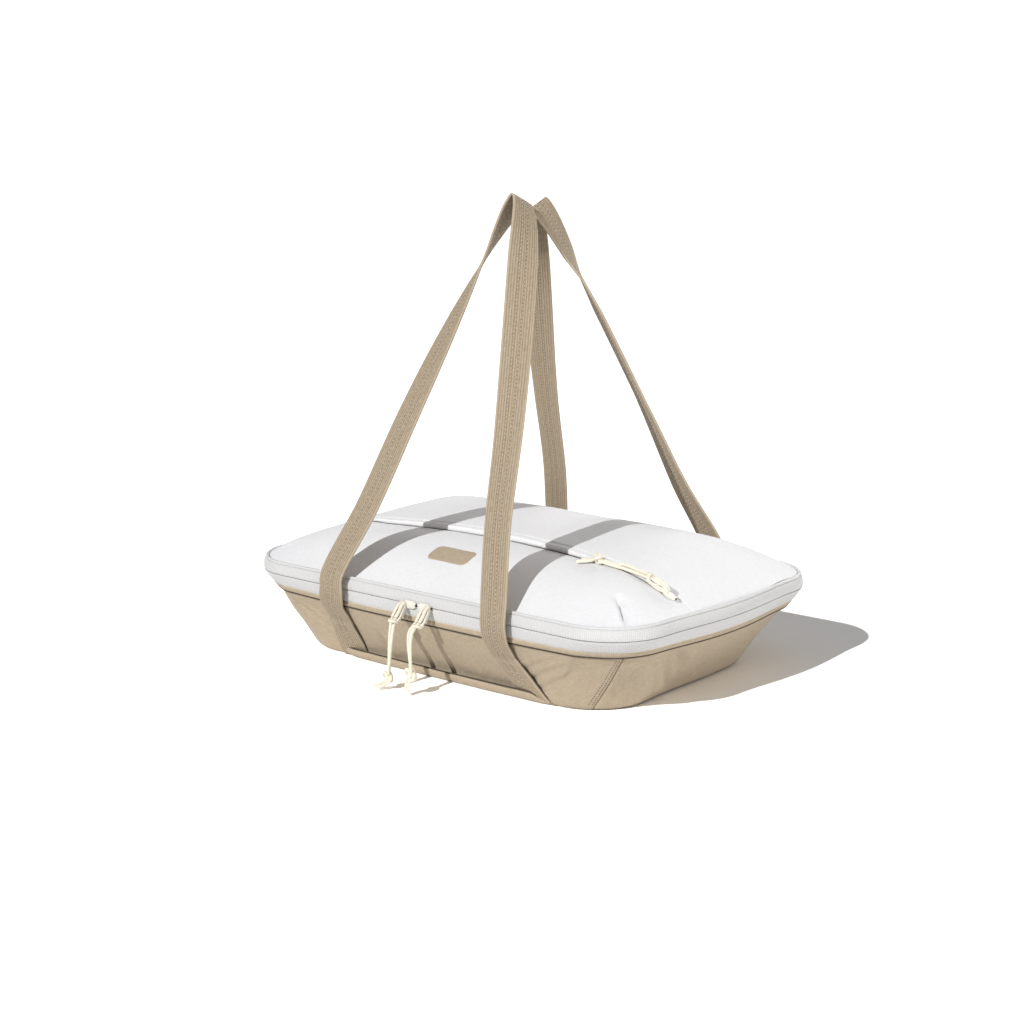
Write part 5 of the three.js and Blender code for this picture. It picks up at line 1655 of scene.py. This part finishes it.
@dataclass(frozen=True)
class Pulls:
    """The three sliders with their pulls.

    Attributes:
        slider_face: Y of the face of the zip that the sliders sit on.
        ring_face: Y of the axes that the rings turn about.
        ring_tilt: Lean of the front rings, in degrees from the upright.
        knot: Height of a lying knot's middle above its underside.
        spacing: Distance between the two strands.
    """

    lid: LidShape
    palette: Palette
    zip_line: float = 66.8
    slider_face: float = -142.15
    ring_face: float = -145.25
    ring_length: float = 15
    ring_tilt: float = 42
    knot: float = 4.2
    spacing: float = 3.0

    def build(self) -> None:
        """Makes the sliders and pulls."""
        self._front(LEFT_PULL)
        self._front(RIGHT_PULL)
        self._pocket()

    def _front(self, pull: Hanging) -> None:
        """A slider on the rim's zip, with its ring leaning out and its cord hanging."""
        facing = Vector((0, -1, 0))
        seat = Vector((pull.middle, self.slider_face, self.zip_line))
        nose = 1 if pull.x > pull.middle else -1
        Slider(pull.place, Axes(seat, RIGHT, UP, facing), nose, False, self.palette, 14.5).build()
        tilt = math.radians(self.ring_tilt)
        sine, cosine = math.sin(tilt), math.cos(tilt)
        hook = Vector((pull.x, self.ring_face, self.zip_line))
        axes = Axes(hook, RIGHT, Vector((0, -sine, -cosine)), Vector((0, -cosine, sine)))
        bar = axes.at(0, self.ring_length, 0)
        fall = Vector((0, -pull.forward, -pull.drop))
        knot = bar + fall
        strands = []
        for sign, tail in zip((-1, 1), pull.tails):
            strand = [
                bar + self._aside(sign, s) + fall * s + Vector((*pull.sway, 0)) * arch(math.sqrt(s))
                for s in (0.14, 0.3, 0.5, 0.72, 0.9)
            ]
            strand += [knot + self._aside(sign, 1) * 0.5, *(knot + Vector(offset) for offset in tail)]
            strands.append(strand)
        knot_axes = Axes(knot, RIGHT, -UP, facing)
        Pull(f"{pull.place}_pull", axes, knot_axes, strands, self.palette, pull.knot_width).build()

    def _aside(self, sign: int, share: float) -> Vector:
        """Place of a strand beside its fellow, which it turns in front of on its way down."""
        turn = math.radians(55) * smooth_step(share)
        return Vector((math.cos(turn), -math.sin(turn), 0)) * (sign * self.spacing / 2)

    def _on_lid(self, x: float, y: float, lift: float, radius: float = CORD_RADIUS) -> Vector:
        """Point above the lid by the lift of something's underside and its radius."""
        return Vector((x, y, self.lid.top(x, y) + lift + radius))

    def _pocket(self) -> None:
        """The pocket's slider at the right end of the seam, its cord lying back along the lid."""
        along, across, up = Vector((-0.92097, 0, 0.38964)), Vector((0, 1, 0)), Vector((0.38964, 0, 0.92097))
        seat = Vector((188.545, -57.5, 88.408))
        Slider("pocket", Axes(seat, along, across, up), 1, True, self.palette).build()
        axes = Axes(Vector((185.701, -57.5, 92.977)), across, along, up)
        route = ((165.5, -55, 2.6), (160, -55.2, 1.9), (152, -55.8, 1.2), (144, -57, 1), (136, -59, 1), (128, -60.5, 2))
        knot_x, knot_y, knot_lift = 122.4, -61, 0.8
        tails = (
            ((117.2, -59.6, 1.8), (113, -61, 1), (107.5, -63.5, 0.8)),
            ((117.2, -62.8, 1.8), (112.5, -65.5, 1), (107, -69, 0.8)),
        )
        strands = []
        for sign, tail in zip((-1, 1), tails):
            strand = [self._on_lid(x, y - sign * self.spacing / 2, lift) for x, y, lift in route]
            strand.append(self._on_lid(knot_x, knot_y - sign * self.spacing / 4, knot_lift, self.knot))
            strands.append([*strand, *(self._on_lid(*spot) for spot in tail)])
        knot_axes = Axes(self._on_lid(knot_x, knot_y, knot_lift, self.knot), across, -RIGHT, UP)
        Pull("pocket_pull", axes, knot_axes, strands, self.palette).build()


@dataclass(frozen=True)
class Softbox:
    """An area lamp: its place and size in metres and its power in watts."""

    name: str
    place: Vector
    size: float
    power: float


@dataclass(frozen=True)
class Sun:
    """Sunlight for one receiver: its direction of fall and its power on a surface that faces it."""

    name: str
    fall: Vector
    power: float


@dataclass(frozen=True)
class Studio:
    """Camera, floor and light.

    Attributes:
        azimuth: Camera's turn about the upright, in degrees.
        elevation: Camera's height angle, in degrees.
        distance: Camera's distance from its target, in metres.
        target: What the camera looks at, in metres.
        lens: Camera's focal length on its 36 mm sensor.
        sun: Sunlight on the carrier.
        floor_sun: Sunlight on the floor.
        softboxes: Soft lamps, which leave the floor's shadow alone.
        sky: Strength of the light from all round.
        floor_lift: Added paleness of the floor to the camera alone, which keeps it white.
        warmth: Colour of the light from all round and from the soft lamps.
    """

    azimuth: float = 40.25
    elevation: float = 11.68
    distance: float = 1.6334
    target: Vector = Vector((-0.01053, -0.00892, 0.12012))
    lens: float = 67.71
    sun: Sun = Sun("key", Vector((0.07, 1.0, -0.645)), 3.1)
    floor_sun: Sun = Sun("floor_key", Vector((0.035, 1.0, -0.70)), 3.7)
    softboxes: tuple[Softbox, ...] = (
        Softbox("fill", Vector((1.6, -0.15, 0.26)), 1.1, 19.0),
        Softbox("back_top", Vector((-0.2, 1.5, 0.75)), 1.4, 22.0),
    )
    sky: float = 0.25
    floor_lift: float = 0.44
    warmth: Colour = (1.0, 0.99, 0.975)

    def build(self) -> None:
        """Sets the camera, floor, softboxes and world."""
        self._camera()
        self._floor()
        for box in self.softboxes:
            lamp = self._lamp(box.name, "AREA", box.power, box.place, Vector((0, 0, 0.06)) - box.place)
            lamp.data.size = box.size
            lamp.data.color = self.warmth
            lamp.visible_camera = False
        self._world()

    def _camera(self) -> None:
        """Camera at the photograph's place."""
        azimuth, elevation = math.radians(self.azimuth), math.radians(self.elevation)
        level = math.cos(elevation)
        back = Vector((math.sin(azimuth) * level, -math.cos(azimuth) * level, math.sin(elevation)))
        data = bpy.data.cameras.new("camera")
        data.lens = self.lens
        data.sensor_width = 36
        camera = bpy.data.objects.new("camera", data)
        camera.location = self.target + back * self.distance
        camera.rotation_euler = (-back).to_track_quat("-Z", "Y").to_euler()
        bpy.context.scene.collection.objects.link(camera)
        bpy.context.scene.camera = camera

    def _floor(self) -> None:
        """White floor that keeps the carrier's shadow."""
        mesh = bpy.data.meshes.new("floor")
        corners = [(x, y, -0.0002) for x, y in ((-9, -9), (9, -9), (9, 9), (-9, 9))]
        mesh.from_pydata(corners, [], [(0, 1, 2, 3)])
        floor = bpy.data.objects.new("floor", mesh)
        material, graph, shader = new_surface("pale_floor", roughness=0.95)
        shader.inputs["Specular IOR Level"].default_value = 0
        shader.inputs["Base Color"].default_value = (0.985, 0.985, 0.99, 1)
        path = graph.add("ShaderNodeLightPath").outputs
        seen = graph.maths("MAXIMUM", path["Is Camera Ray"], path["Is Glossy Ray"])
        lift = graph.add("ShaderNodeBsdfDiffuse", {"Color": graph.mix(seen, (0, 0, 0), (self.floor_lift,) * 3)})
        both = graph.add("ShaderNodeAddShader", {0: shader.outputs[0], 1: lift.outputs[0]})
        graph.join(both.outputs[0], graph.tree.nodes["Material Output"], "Surface")
        mesh.materials.append(material)
        bpy.context.scene.collection.objects.link(floor)

    def light(self, straps: Sequence[bpy.types.Object]) -> None:
        """Adds the sunlight: one lamp for the carrier, and one for the floor that passes the handles."""
        place = Vector((-0.2, -2, 1.5))
        for sun in (self.sun, self.floor_sun):
            on_floor = sun is self.floor_sun
            lamp = self._lamp(sun.name, "SUN", sun.power, place, sun.fall, on_floor)
            lamp.data.angle = math.radians(0.9)
            if on_floor:
                lamp.light_linking.blocker_collection = self._linking(f"{sun.name}_passes", straps, False)

    def _lamp(
        self, name: str, kind: str, power: float, place: Vector, fall: Vector, on_floor: bool = False
    ) -> bpy.types.Object:
        """Adds a lamp that shines in one direction, on the floor alone or on all but the floor."""
        data = bpy.data.lights.new(name, kind)
        data.energy = power
        lamp = bpy.data.objects.new(name, data)
        lamp.location = place
        lamp.rotation_euler = fall.to_track_quat("-Z", "Y").to_euler()
        bpy.context.scene.collection.objects.link(lamp)
        floor = bpy.data.objects["floor"]
        lamp.light_linking.receiver_collection = self._linking(f"{name}_lit", [floor], on_floor)
        return lamp

    @staticmethod
    def _linking(name: str, members: Sequence[bpy.types.Object], included: bool) -> bpy.types.Collection:
        """Collection that a lamp alone lights, or leaves out."""
        collection = bpy.data.collections.new(name)
        for member in members:
            collection.objects.link(member)
        for entry in collection.collection_objects:
            entry.light_linking.link_state = "INCLUDE" if included else "EXCLUDE"
        return collection

    def _world(self) -> None:
        """Soft light from all round, with white behind the carrier."""
        world = bpy.data.worlds.new("studio")
        world.use_nodes = True
        bpy.context.scene.world = world
        graph = Graph(world.node_tree)
        seen = graph.add("ShaderNodeLightPath").outputs["Is Camera Ray"]
        white = graph.add("ShaderNodeBackground", {"Color": (1, 1, 1, 1), "Strength": 1.05})
        around = graph.tree.nodes["Background"]
        around.inputs["Color"].default_value = (*self.warmth, 1)
        around.inputs["Strength"].default_value = self.sky
        mixed = graph.add("ShaderNodeMixShader", {0: seen, 1: around.outputs[0], 2: white.outputs[0]})
        graph.join(mixed.outputs[0], graph.tree.nodes["World Output"], 0)
        bpy.context.scene.view_settings.view_transform = "Standard"


def own_finish(frame: dict, palette: Palette) -> None:
    """Gives the CAD solids that stay in view the enamel of the sliders."""
    for name in ("left_zip_end_stop", "right_zip_end_stop"):
        for holder in frame["nodes"][name].material_slots:
            holder.material = palette.enamel


def main() -> None:
    logging.basicConfig(level=logging.INFO)
    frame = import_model()
    studio = Studio()
    studio.build()
    palette, shape, lid = Palette(), CarrierShape(), LidShape()
    own_finish(frame, palette)
    Pulls(lid, palette).build()
    LOG.info("pulls made")
    Tub(shape, palette).build()
    LOG.info("tub made")
    Rim(shape, palette).build()
    Lid(shape, lid, palette).build()
    LOG.info("rim and lid made")
    straps = []
    for name, side, apex, feet, twists in (
        ("front_handle", Side.FRONT, (2, -12.4, 383), (-93, 86), (EVEN_TWIST, EARLY_TWIST)),
        ("back_handle", Side.BACK, (-1, 12.4, 378), (-89, 89), (EVEN_TWIST, LONG_TWIST)),
    ):
        straps += Handle(name, side, Vector(apex), feet, twists, shape, palette).build()
    studio.light(straps)
    LOG.info("handles made")
    bpy.context.view_layer.update()


if __name__ == "__main__":
    main()
